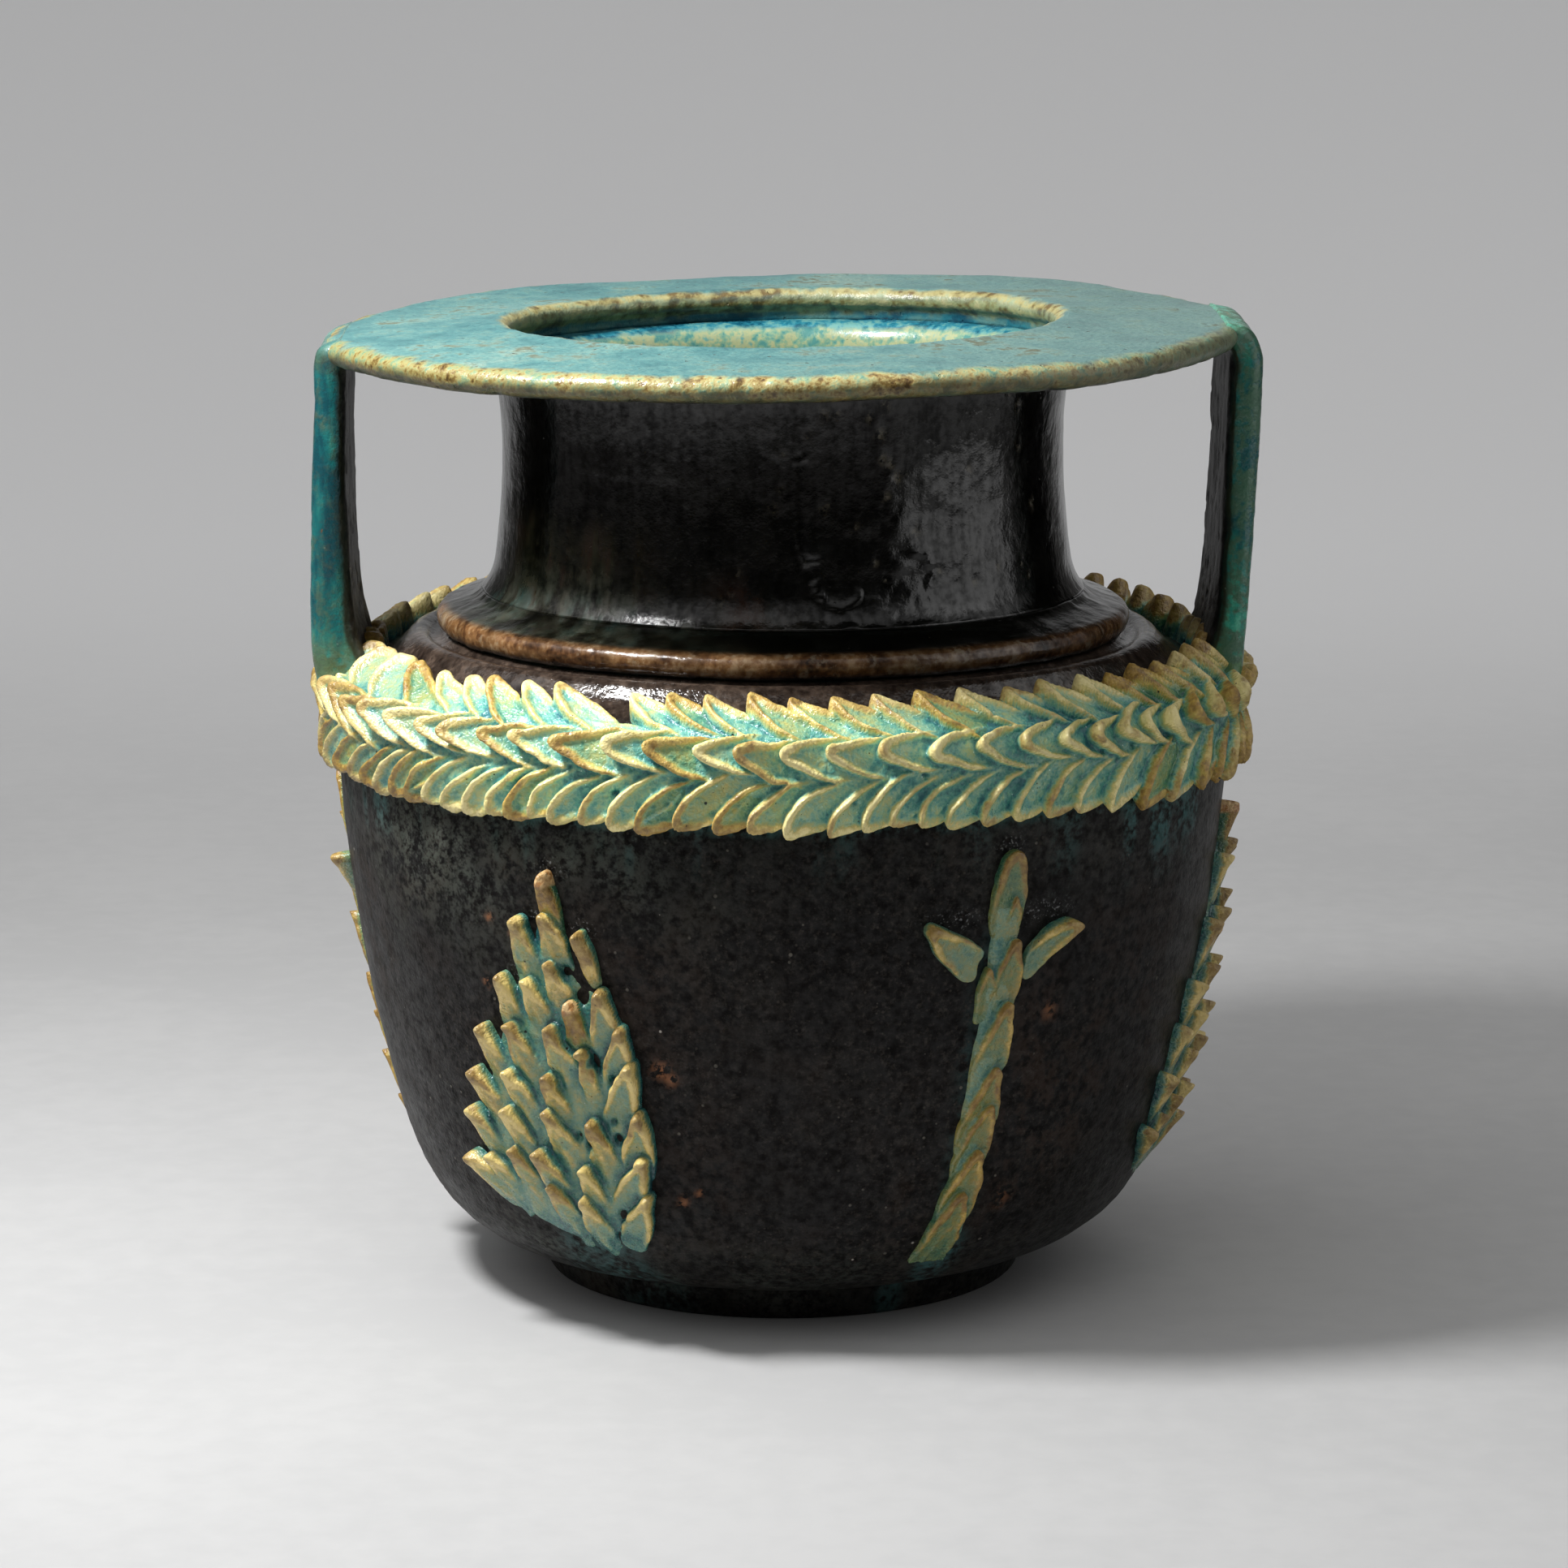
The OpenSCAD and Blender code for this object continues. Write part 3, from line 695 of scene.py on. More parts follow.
pieces["neck"] = turn_solid("neck_piece",
                            [(59.3, 137.0), (58.3, 138.3), (57.5, 139.8), (56.8, 142), (56.2, 146), (55.7, 151), (55.2, 157), (55.0, 163),
                             (55.1, 169), (55.5, 174), (56.0, 178), (56.8, 181.2), (58.2, 183.5)],
                            [(54.6, 183.4), (53.6, 183.2), (52.6, 182.9), (51.7, 182.4), (51.0, 181.7), (50.5, 180.8), (50.15, 179.6), (50, 178), (50, 160), (50, 137)],
                            680, 0.55, 1.5, neck_shape, neck_masks)
pieces["rim_plate"] = turn_solid("rim_plate_piece",
                                 [(56, 183.3), (70, 183.3), (84, 183.3), (86.8, 183.45), (88.5, 184.2), (89.4, 185.6), (89.2, 187.0), (88.1, 188.0),
                                  (86.4, 188.45), (82, 188.7), (75, 189.0), (67, 189.35), (60.0, 189.75), (57.2, 190.0), (55.5, 190.0), (54.2, 189.4), (53.4, 188.4),
                                  (53.2, 187.4), (53.7, 186.5), (54.6, 185.8), (55.3, 184.9), (55.5, 184.0), (55.5, 183.3)],
                                 [], 900, 0.75, 1.0, rim_shape, rim_masks)


# ---------------------------------------------------------------- handles
def handle(name, side, inner, outer, seed):
    """A strap from the shoulder to the rim. inner and outer are (distance from the axis, z)
    lines of its two faces, with as many points each; side is +1 on the right."""
    I, O = np.array(inner, float), np.array(outer, float)
    s = np.r_[0, np.cumsum(np.hypot(*(np.diff((I + O) / 2, axis=0)).T))]
    u = np.linspace(0, s[-1], 130)

    def along(L):
        f = spline(np.column_stack([s * 0.0 + np.arange(len(L)), L]), 0.05)
        k = np.interp(u, s, np.arange(len(L)))
        return np.stack([np.interp(k, f[:, 0], f[:, 1]), np.interp(k, f[:, 0], f[:, 2])], -1)

    I, O = along(I), along(O)
    m = 88
    th = np.linspace(0, TAU, m, endpoint=False)
    C, H = (I + O) / 2, (O - I) / 2
    thick = np.hypot(H[:, 0], H[:, 1])
    e = u / u[-1]
    wid = 18.0 + 2.2 * (1 - smooth(e, 0, 0.10)) + 1.6 * smooth(e, 0.90, 0.985) - 0.4 * np.sin(e * 9 + seed)
    V, X = [], []
    for k in range(len(u)):
        # a flat-sided strap with rounded edges: walk round a rounded rectangle
        hw, ht = wid[k], thick[k]
        cr = min(3.1, ht * 0.96)
        per = 4 * (hw - cr) + 4 * (ht - cr) + TAU * cr
        V.append(np.linspace(0, per, m, endpoint=False))
        X.append((hw, ht, cr, per))
    rows = []
    sx_rows = []
    for k in range(len(u)):
        hw, ht, cr, per = X[k]
        d = V[k]
        a1 = ht - cr
        q1 = math.pi / 2 * cr
        marks = np.cumsum([a1, q1, 2 * (hw - cr), q1, 2 * a1, q1, 2 * (hw - cr), q1, a1])
        x = np.zeros(m)
        y = np.zeros(m)
        for t in range(m):
            v = d[t]
            if v <= marks[0]:
                x[t], y[t] = v, hw
            elif v <= marks[1]:
                g = (v - marks[0]) / cr
                x[t], y[t] = a1 + cr * math.sin(g), hw - cr + cr * math.cos(g)
            elif v <= marks[2]:
                x[t], y[t] = ht, hw - cr - (v - marks[1])
            elif v <= marks[3]:
                g = (v - marks[2]) / cr
                x[t], y[t] = a1 + cr * math.cos(g), -(hw - cr) - cr * math.sin(g)
            elif v <= marks[4]:
                x[t], y[t] = a1 - (v - marks[3]), -hw
            elif v <= marks[5]:
                g = (v - marks[4]) / cr
                x[t], y[t] = -a1 - cr * math.sin(g), -(hw - cr) - cr * math.cos(g)
            elif v <= marks[6]:
                x[t], y[t] = -ht, -(hw - cr) + (v - marks[5])
            elif v <= marks[7]:
                g = (v - marks[6]) / cr
                x[t], y[t] = -a1 - cr * math.cos(g), hw - cr + cr * math.sin(g)
            else:
                x[t], y[t] = -a1 + (v - marks[7]), hw
        rows.append(np.stack([C[k, 0] + H[k, 0] / ht * x, y, C[k, 1] + H[k, 1] / ht * x], -1))
        sx_rows.append(x / ht)
    P = np.array(rows)
    sx = np.array(sx_rows)
    n = len(u)
    flat = P.reshape(-1, 3) * np.array([side, 1, 1])
    i = np.arange(n - 1)[:, None]
    j = np.arange(m)[None, :]
    j2 = (j + 1) % m
    q = np.stack([i * m + j, i * m + j2, (i + 1) * m + j2, (i + 1) * m + j], -1).reshape(-1, 4)
    # direction pointing out of the surface, to move points along
    T = np.gradient(P, axis=0)
    S = np.roll(P, -1, 1) - np.roll(P, 1, 1)
    N = np.cross(S, T)
    N /= np.maximum(np.linalg.norm(N, axis=2, keepdims=True), 1e-9)
    c = P.mean(1, keepdims=True)
    N *= np.sign(((P - c) * N).sum(2, keepdims=True) + 1e-12)
    N = N.reshape(-1, 3) * np.array([side, 1, 1])
    inn = 1 - smooth(sx.reshape(-1) + 0.16 * noise(flat, 5, seed + 4), -0.92, -0.45)
    d = 0.14 * noise(stretched(flat, 0.4), 5, seed) + 0.07 * noise(flat, 1.7, seed + 1)
    d = d + inn * (0.22 * noise(stretched(flat, 0.45), 3.2, seed + 2) - 0.30 * smooth(noise(stretched(flat, 0.6), 1.5, seed + 3), 0.45, 0.8))
    flat = flat + N * d[:, None]
    z = flat[:, 2]
    foot = 1 - smooth(z, 124, 131)
    head = smooth(z, 181, 187)
    masks = {"inside": np.clip(inn * (1 - 0.8 * head), 0, 1), "joint": np.clip(np.maximum(foot, 0.8 * head), 0, 1),
             "out": smooth(sx.reshape(-1), 0.0, 0.9), "top": smooth(z, 184, 188.5)}
    low, high = list(range(m)), list(range((n - 1) * m, n * m))
    if side > 0:
        q, caps = q[:, ::-1], [low, high[::-1]]
    else:
        caps = [low[::-1], high]
    return quad_mesh(name, flat, q, caps, masks)


pieces["handle_right"] = handle("handle_right_piece", 1,
                                [(77.5, 118.5), (79.8, 122.5), (82.0, 126.5), (83.4, 132), (84.4, 140), (85.1, 152), (85.6, 166), (86.0, 176), (86.2, 182), (85.6, 184.6), (83.5, 185.3)],
                                [(88.6, 115.5), (89.3, 121.0), (89.7, 126), (90.2, 133), (90.8, 142), (91.5, 153), (92.2, 166), (92.7, 176), (92.5, 182.3), (90.2, 187.3), (85.5, 188.9)], 91)
pieces["handle_left"] = handle("handle_left_piece", -1,
                               [(77.5, 118.5), (79.8, 122.5), (82.0, 126.5), (83.4, 132), (84.2, 140), (84.7, 152), (84.9, 166), (84.7, 176), (84.5, 182), (84.0, 184.2), (82.8, 185.0)],
                               [(89.6, 115.5), (90.9, 121.0), (91.8, 126), (92.0, 133), (91.9, 142), (91.7, 153), (91.2, 166), (90.8, 176), (90.6, 183.5), (89.6, 186.8), (85.5, 188.6)], 131)


# ---------------------------------------------------------------- garland
GBASE = spline([(84.6, 103.6), (87.9, 105.1), (89.3, 107.2), (90.0, 110), (90.2, 113.5), (89.9, 117), (88.8, 120), (86.6, 122.6),
                (83.6, 124.3), (80.2, 125.3), (77.0, 125.4), (74.4, 124.6)], 0.3)
_gt = np.r_[0, np.cumsum(np.hypot(*np.diff(GBASE, axis=0).T))]


def g_radius(t):
    return np.interp(t, _gt, GBASE[:, 0]) + np.minimum(t, 0) * 0.9


def g_height(t):
    return np.interp(t, _gt, GBASE[:, 1]) + np.minimum(t, 0) * 0.3


def garland_ground(A, T):
    P = np.stack([90 * np.sin(np.radians(A)), -90 * np.cos(np.radians(A)), T], -1).reshape(-1, 3)
    n = noise(P, 6, 101).reshape(A.shape)
    n2 = noise(P, 2.5, 102).reshape(A.shape)
    lo = smooth(T, 2.5 + 0.4 * n, 4.4 + 0.4 * n)
    hi = 1 - smooth(T, 24.4 + 0.8 * n + 0.4 * n2, 26.8 + 0.8 * n + 0.4 * n2)
    return -0.35 - 3.2 * (1 - lo) - 3.2 * (1 - hi) + 0.12 * n2


def rnd(k, seed, lo=-1.0, hi=1.0):
    v = float(lattice(np.array([k]), np.array([seed]), np.array([3]), 11)[0])
    return lo + (hi - lo) * v


# one leaf of each row, in mm, x to the right and y up the surface
CHEVRON = [(-0.2, 0.1), (0.35, 0.85), (1.7, 1.5), (4.0, 2.3), (7.0, 3.2), (10.5, 3.9), (13.5, 4.2), (15.2, 2.0), (15.2, -2.6), (13.5, -4.8),
           (10.5, -4.6), (7.2, -3.9), (4.2, -2.6), (1.9, -1.65), (0.4, -0.8)]
LOWER = [(11.5, 6.3), (8.6, 5.5), (5.9, 4.3), (3.5, 2.7), (1.5, 0.8), (0.3, -1.1), (0.25, -2.6), (1.1, -3.5), (2.8, -3.7), (5.2, -3.2),
         (8.0, -2.4), (10.8, -1.0), (13.0, 1.6), (13.4, 4.8)]
UPPER = [(-0.2, 1.2), (-0.55, 0.1), (-0.1, -1.4), (1.4, -3.2), (3.8, -5.2), (6.8, -7.0), (10.2, -8.4), (13.4, -9.2), (14.8, -8.2), (14.4, -6.0),
         (12.2, -3.8), (9.3, -2.1), (6.3, -0.9), (3.6, 0.2), (1.6, 0.9)]
ROUND = [(0.2, 0.2), (-0.3, -1.4), (0.2, -3.6), (1.6, -5.9), (3.9, -7.9), (7.0, -9.2), (10.5, -9.6), (12.6, -7.5), (11.0, -4.2), (8.6, -1.8), (6.2, 0.2),
         (3.8, 1.4), (1.6, 1.3)]

upper_az = [-80.5, -73, -65.5, -59.5, -52.5, -47, -42.5, -37, -31.5, -20.5, -15.5, -10.5, -4.5, 0.5, 6, 11.5, 17.5, 23.5, 30, 35.5, 42, 47.5, 52.5, 58, 64.5,
            70, 75.5]
middle_az = [-84, -78, -72.5, -67, -61, -54.5, -49, -44.5, -38.5, -34, -28, -21.5, -16.5, -10.8, -6.2, -1, 4.5, 10.5, 16.8, 22.8, 28.2, 34, 38.5, 43,
             47, 51.5, 57, 63, 68.5, 74, 79.5, 85]
lower_az = [-86, -81, -76, -71, -66, -61.5, -58, -55, -52.2, -48.2, -44.7, -41.5, -37.7, -35, -32.2, -28.8, -25, -21.6, -18.2, -13.6, -8.8, -4.6, -0.6,
            4.4, 8.4, 11.6, 14.9, 18.6, 22.8, 27, 31.4, 36, 40.8, 47, 53, 59, 64.5, 69.5, 74, 79, 84]


def carry_on(row, pitch, seed):
    """Continue a row of leaves round the back with an uneven pitch."""
    gap = 360 - (row[-1] - row[0])
    n = int(round(gap / pitch))
    return row + [row[-1] + gap * i / n + 0.14 * pitch * rnd(i, seed) for i in range(1, n)]


garland = Patch(g_radius, g_height, -180.0, 180.0, 0.0, 34.0, 0.325, 1.56, garland_ground, wrap=True)
order = []
for i, a0 in enumerate(carry_on(lower_az, 4.4, 111)):
    big = 1.0
    if i in (33, 34):
        big = 1.25
    order.append(("low", i, a0, big))
for i, a0 in enumerate(carry_on(upper_az, 5.8, 112)):
    order.append(("up", i, a0, 1.0))
for i, a0 in enumerate(carry_on(middle_az, 5.6, 113)):
    order.append(("mid", i, a0, 1.0))
for kind, i, a0, big in order:
    aa = (a0 + 180) % 360 - 180
    # towards the right-hand side the leaves get thornier, with more ochre
    right = float(smooth(aa, 25, 60)) * float(1 - smooth(aa, 120, 150))
    left = float(1 - smooth(aa, -70, -56)) * float(smooth(aa, -110, -95))
    rear = float(smooth(abs(aa), 100, 125))
    j = 7 * i + {"low": 1, "up": 2, "mid": 3}[kind]
    sz = big * (1 + (0.07 + 0.06 * right) * rnd(j, 121))
    lift = 1 + 0.16 * rnd(j, 122) + 0.22 * right
    turn = (5 + 5 * right) * rnd(j, 123)
    odd = 0.5 + 0.5 * rnd(j, 124) * 0.8
    odd = min(1.0, max(0.0, odd + 0.25 * right + 0.25 * left - 0.06))
    if kind == "low":
        garland.leaf(a0, 8.7 + 0.35 * rnd(j, 125), LOWER, (12.5, 4.0), (0.9, -2.2), -0.5, 2.8 * lift, w=0.42, dep=1.15, wide=0.9, rot=turn * 0.7 - 2, size=sz, k=1.55,
                     odd=odd, power=1.0)
    elif kind == "up":
        shape = ROUND if left > 0.5 else UPPER
        garland.leaf(a0, 28.9 + 0.5 * rnd(j, 126) - 0.3 * left - 1.4 * right, shape, (13.0, -7.4), (0.6, -0.2), -0.5, 3.1 * lift + 0.1 * right + 2.2 * rear, w=0.42, dep=1.2 + 0.2 * left, wide=0.9,
                     rot=turn - 4 * right, size=sz * (1 + 0.18 * left), k=1.43, odd=odd, power=1.05)
    else:
        if left > 0.5:
            garland.leaf(a0, 18.3 + 1.0 * rnd(j, 127), CHEVRON, (14.0, -0.3), (0.8, 0.0), -0.3, 3.5, w=0.62, dep=1.5, wide=1.1, rot=turn * 1.5 - 4, size=sz * 1.12, k=1.58, odd=odd)
        else:
            garland.leaf(a0, 18.3 + 0.4 * rnd(j, 127), CHEVRON, (14.0, -0.3), (0.8, 0.0), -0.5, 3.6 * lift, w=0.46, dep=1.45, wide=1.0, rot=turn, size=sz, k=1.58, odd=odd)
# small holes where the glaze crawled or a bubble burst
for a0, t0, s, dp in ((-27.0, 14.4, 0.45, 1.0), (-33.8, 10.8, 0.7, 1.3), (-38.2, 10.6, 0.4, 0.7), (-21.0, 10.2, 0.75, 1.3), (-30.1, 14.2, 0.3, 0.6),
                      (-14.6, 8.9, 0.3, 0.6), (7.4, 9.3, 0.5, 0.9), (-9.2, 7.0, 0.8, 0.6), (1.2, 6.4, 0.8, 0.6), (15.9, 14.0, 0.5, 1.0), (26, 24.2, 0.4, 0.8),
                      (31.5, 23.8, 0.4, 0.8), (40.5, 14.8, 0.5, 0.9), (45.8, 15.2, 0.4, 0.9), (100, 12, 0.6, 1.1), (150, 20, 0.5, 0.9), (-130, 11, 0.7, 1.1)):
    garland.h -= dp * np.exp(-((((garland.A - a0 + 180) % 360 - 180) * 1.56) / s) ** 2 - ((garland.T - t0) / s) ** 2)
garland.finish(soft=0.16, lump=0.13, hang=0.14, seed=141, base=-0.8, lean=0.36)
nq = len(garland.a) // 4
pieces["garland_front"] = garland.strip("garland_front_piece", nq, 3 * nq, -3.2)
pieces["garland_back"] = garland.strip("garland_back_piece", 3 * nq, 5 * nq, -3.2)

# ---------------------------------------------------------------- reliefs on the bowl
HOOD = [(0.0, 0.9), (0.6, 0.6), (1.0, -0.2), (1.5, -1.9), (2.3, -4.2), (3.0, -7.0), (3.5, -10.5), (3.2, -14.2), (0.0, -15.0), (-2.9, -14.0), (-3.2, -10.5),
        (-2.75, -7.0), (-2.1, -4.2), (-1.35, -1.9), (-0.95, -0.2), (-0.6, 0.6)]
SLIM = [(0.0, 0.9), (0.55, 0.6), (0.9, -0.2), (1.25, -2.2), (1.7, -5.0), (2.1, -8.5), (2.2, -12.0), (0.3, -13.0), (-1.2, -12.0), (-1.5, -8.5), (-1.35, -5.0), (-1.1, -2.2),
        (-0.9, -0.2), (-0.55, 0.6)]

# leaves of a cluster: direction in degrees from its middle, height of the tip, lean in
# degrees (+ to the left), size, rise of the tip, outline
CLUSTER = [
    (2.3, 93.4, 4, 0.95, 3.3, "slim", 1), (2.4, 85.8, 5, 1.05, 3.0, "hood", 0), (-1.9, 84.0, 3, 0.92, 3.0, "hood", 0), (2.5, 76.8, 8, 0.98, 3.2, "hood", 0),
    (6.9, 82.9, 11, 0.80, 3.3, "slim", 0), (-5.2, 72.6, 4, 0.95, 3.0, "hood", 0), (-0.9, 73.0, 11, 1.02, 3.5, "hood", 0), (9.3, 71.8, 0, 1.00, 3.1, "hood", 0),
    (4.9, 69.2, 6, 0.95, 3.4, "hood", 1), (11.4, 64.7, -8, 0.95, 3.2, "hood", 0), (-4.3, 63.5, 11, 1.08, 3.6, "hood", 0), (1.9, 63.8, 9, 1.05, 3.6, "hood", 0),
    (-9.6, 61.2, 14, 0.86, 3.0, "hood", 0), (6.0, 60.0, 5, 0.98, 3.6, "slim", 0), (12.4, 58.0, -17, 1.05, 3.4, "hood", 0), (-5.5, 54.0, 14, 1.10, 3.6, "hood", 0),
    (0.5, 54.2, 9, 1.00, 3.6, "hood", 0), (-12.2, 52.2, 20, 0.88, 3.0, "hood", 0), (-6.7, 46.0, 12, 1.05, 3.6, "hood", 0), (0.1, 47.0, 12, 1.12, 3.7, "hood", 0),
    (6.6, 46.0, 4, 1.08, 3.6, "hood", 0), (13.2, 48.0, -10, 0.98, 3.2, "hood", 0), (-14.2, 43.8, 24, 0.90, 3.0, "hood", 0), (13.0, 39.2, -24, 1.00, 3.4, "hood", 0),
    (-7.2, 37.8, 12, 0.98, 3.4, "hood", 0), (-2.5, 38.2, 12, 1.05, 3.7, "hood", 0), (4.3, 36.2, 6, 0.92, 3.4, "hood", 0), (-12.2, 35.6, 20, 0.85, 2.6, "hood", 0),
    (-1.4, 31.8, 11, 0.95, 3.4, "hood", 0), (12.9, 31.2, -26, 0.92, 3.0, "hood", 0), (3.7, 29.8, 5, 0.98, 3.3, "hood", 0), (-16.6, 33.8, 44, 1.02, 2.8, "hood", 0),
]


def bowl_patch(az, half, t0, t1, cell):
    return Patch(bowl_r, lambda t: t, az - half, az + half, t0, t1, cell, 1.40, lambda A, T: np.full(A.shape, -2.4))


def cluster(name, az, seed, flip=1):
    p = bowl_patch(az, 20.5, 17.0, 97.0, 0.21)
    # the bed that the leaves are pressed on: a swelling shape that narrows to the top
    bed = [(-1.5, 19.5), (-6, 21.5), (-10.5, 25.5), (-13.5, 30.5), (-14.0, 38), (-11.8, 48), (-8.6, 58), (-4.4, 70), (-0.8, 80), (1.2, 88),
           (3.3, 88), (4.6, 80), (5.0, 74), (8.0, 72.5), (11.0, 68), (12.2, 60), (13.6, 50), (14.0, 38), (13.2, 28), (9.0, 23), (4, 20.5)]
    B = np.array([(x * flip * 1.40, y) for x, y in bed])
    d = edge_distance((p.A - az) * 1.40, p.T, round_outline(B, 2))
    base = 0.45 + 0.35 * smooth(d, 0, 6)
    P = np.stack([p.A * 1.4, p.T, 0 * p.T], -1).reshape(-1, 3)
    base = base + 0.18 * noise(P, 3.0, seed).reshape(p.A.shape)
    # it fades out into the run of glaze at its foot
    fade = smooth(p.T, 17.5, 25)
    bed_h = np.where(d > 0, base * fade - 0.9 * (1 - smooth(d, 0, 0.9)), base * fade - 0.9 + 5 * d)
    p.h = np.maximum(p.h, bed_h)
    for i, (da, z, lean, sz, rise, kind, broken) in enumerate(CLUSTER):
        j = i + 40 * (seed % 7)
        wob = 0.0 if seed == 151 else 1.0
        shape = HOOD if kind == "hood" else SLIM
        q = np.array(shape)
        if flip < 0:
            q = q * np.array([-1, 1])
        p.leaf(az + flip * da + 0.5 * wob * rnd(j, 152), z + 0.8 * wob * rnd(j, 153), q, (0.2 * flip, -13.5), (0, -0.3), 0.35, (rise + 0.75) * (1 + 0.08 * rnd(j, 154)),
               w=0.55, dep=0.15 if lean > 0 else 0.5, keel=0.34 if lean > 0 else 0.0, rot=flip * lean + 4 * wob * rnd(j, 155), size=sz, k=float(bowl_r(z)) * math.pi / 180, wall=7.0,
               odd=0.35 + 0.35 * rnd(j, 156) + (0.9 if broken else 0.0), power=1.2, wide=1.2, blunt=0.7 if broken else 0.0)
    for da, z0, s, dp in ((6.2, 70.8, 1.1, 2.6), (7.0, 58.0, 1.3, 2.8), (5.3, 41.2, 1.0, 1.8), (9.6, 43.0, 0.8, 1.6), (8.6, 26.6, 0.9, 1.5), (9.3, 46.5, 0.5, 1.0),
                          (4.1, 75.6, 0.8, 1.6), (9.8, 54.8, 0.8, 1.2), (3.6, 42.6, 0.7, 1.2)):
        p.h -= dp * np.exp(-(((p.A - az - flip * da) * 1.4) / s) ** 2 - ((p.T - z0) / (1.25 * s)) ** 2) * (p.h > -1)
    p.finish(soft=0.16, lump=0.10, hang=0.10, seed=seed + 20, base=0.5, lean=0.26)
    # stronger contrast between ridges and hollows, which deepens the painted shade in the hollows; lower at the foot,
    # where the leaves fade into the run of glaze
    p.ridge = p.ridge * 1.25 + 0.10 - 0.45 * (1 - smooth(p.T, 20, 30))
    return p.sprig(name, -1.3, -0.45)


pieces["leaf_cluster_front"] = cluster("leaf_cluster_front_piece", CLUSTER_AZ[0], 151)
pieces["leaf_cluster_right"] = cluster("leaf_cluster_right_piece", CLUSTER_AZ[1], 161)
pieces["leaf_cluster_back"] = cluster("leaf_cluster_back_piece", CLUSTER_AZ[2], 171, -1)

# the leaves of a stalk, each over the one above it: direction from the stalk's middle at
# that height, height of the tip, lean, size, rise
APEX = [(0.4, 0.2), (1.3, -0.5), (2.1, -3.2), (3.0, -7.5), (2.9, -11.0), (2.1, -15.5), (0.6, -18.6), (-2.2, -18.0), (-3.9, -14.5), (-4.1, -11.0), (-3.3, -6.5),
        (-2.0, -2.5), (-0.9, -0.3)]
TWIST = [(0.4, 0.2), (1.25, -0.8), (1.5, -3.2), (2.2, -6.5), (2.2, -10.5), (0.8, -14.0), (-2.0, -16.2), (-4.2, -16.8), (-4.9, -14.8), (-4.4, -11.0), (-3.4, -7.0),
         (-1.9, -3.0), (-0.7, -0.6)]
SIDE_L = [(-0.3, 0.4), (-0.6, -1.0), (0.2, -3.2), (2.2, -6.3), (4.8, -9.0), (7.4, -10.8), (8.6, -10.2), (8.9, -8.0), (10.6, -5.6), (9.4, -4.4), (6.2, -2.6),
          (2.8, -0.6), (0.8, 0.6)]
SIDE_R = [(0.5, 0.4), (1.0, -0.4), (-0.6, -2.2), (-3.2, -4.6), (-5.6, -7.4), (-7.8, -9.6), (-9.2, -9.2), (-8.8, -6.8), (-8.6, -4.6), (-6.8, -2.4), (-3.9, -0.5),
          (-1.2, 0.6)]


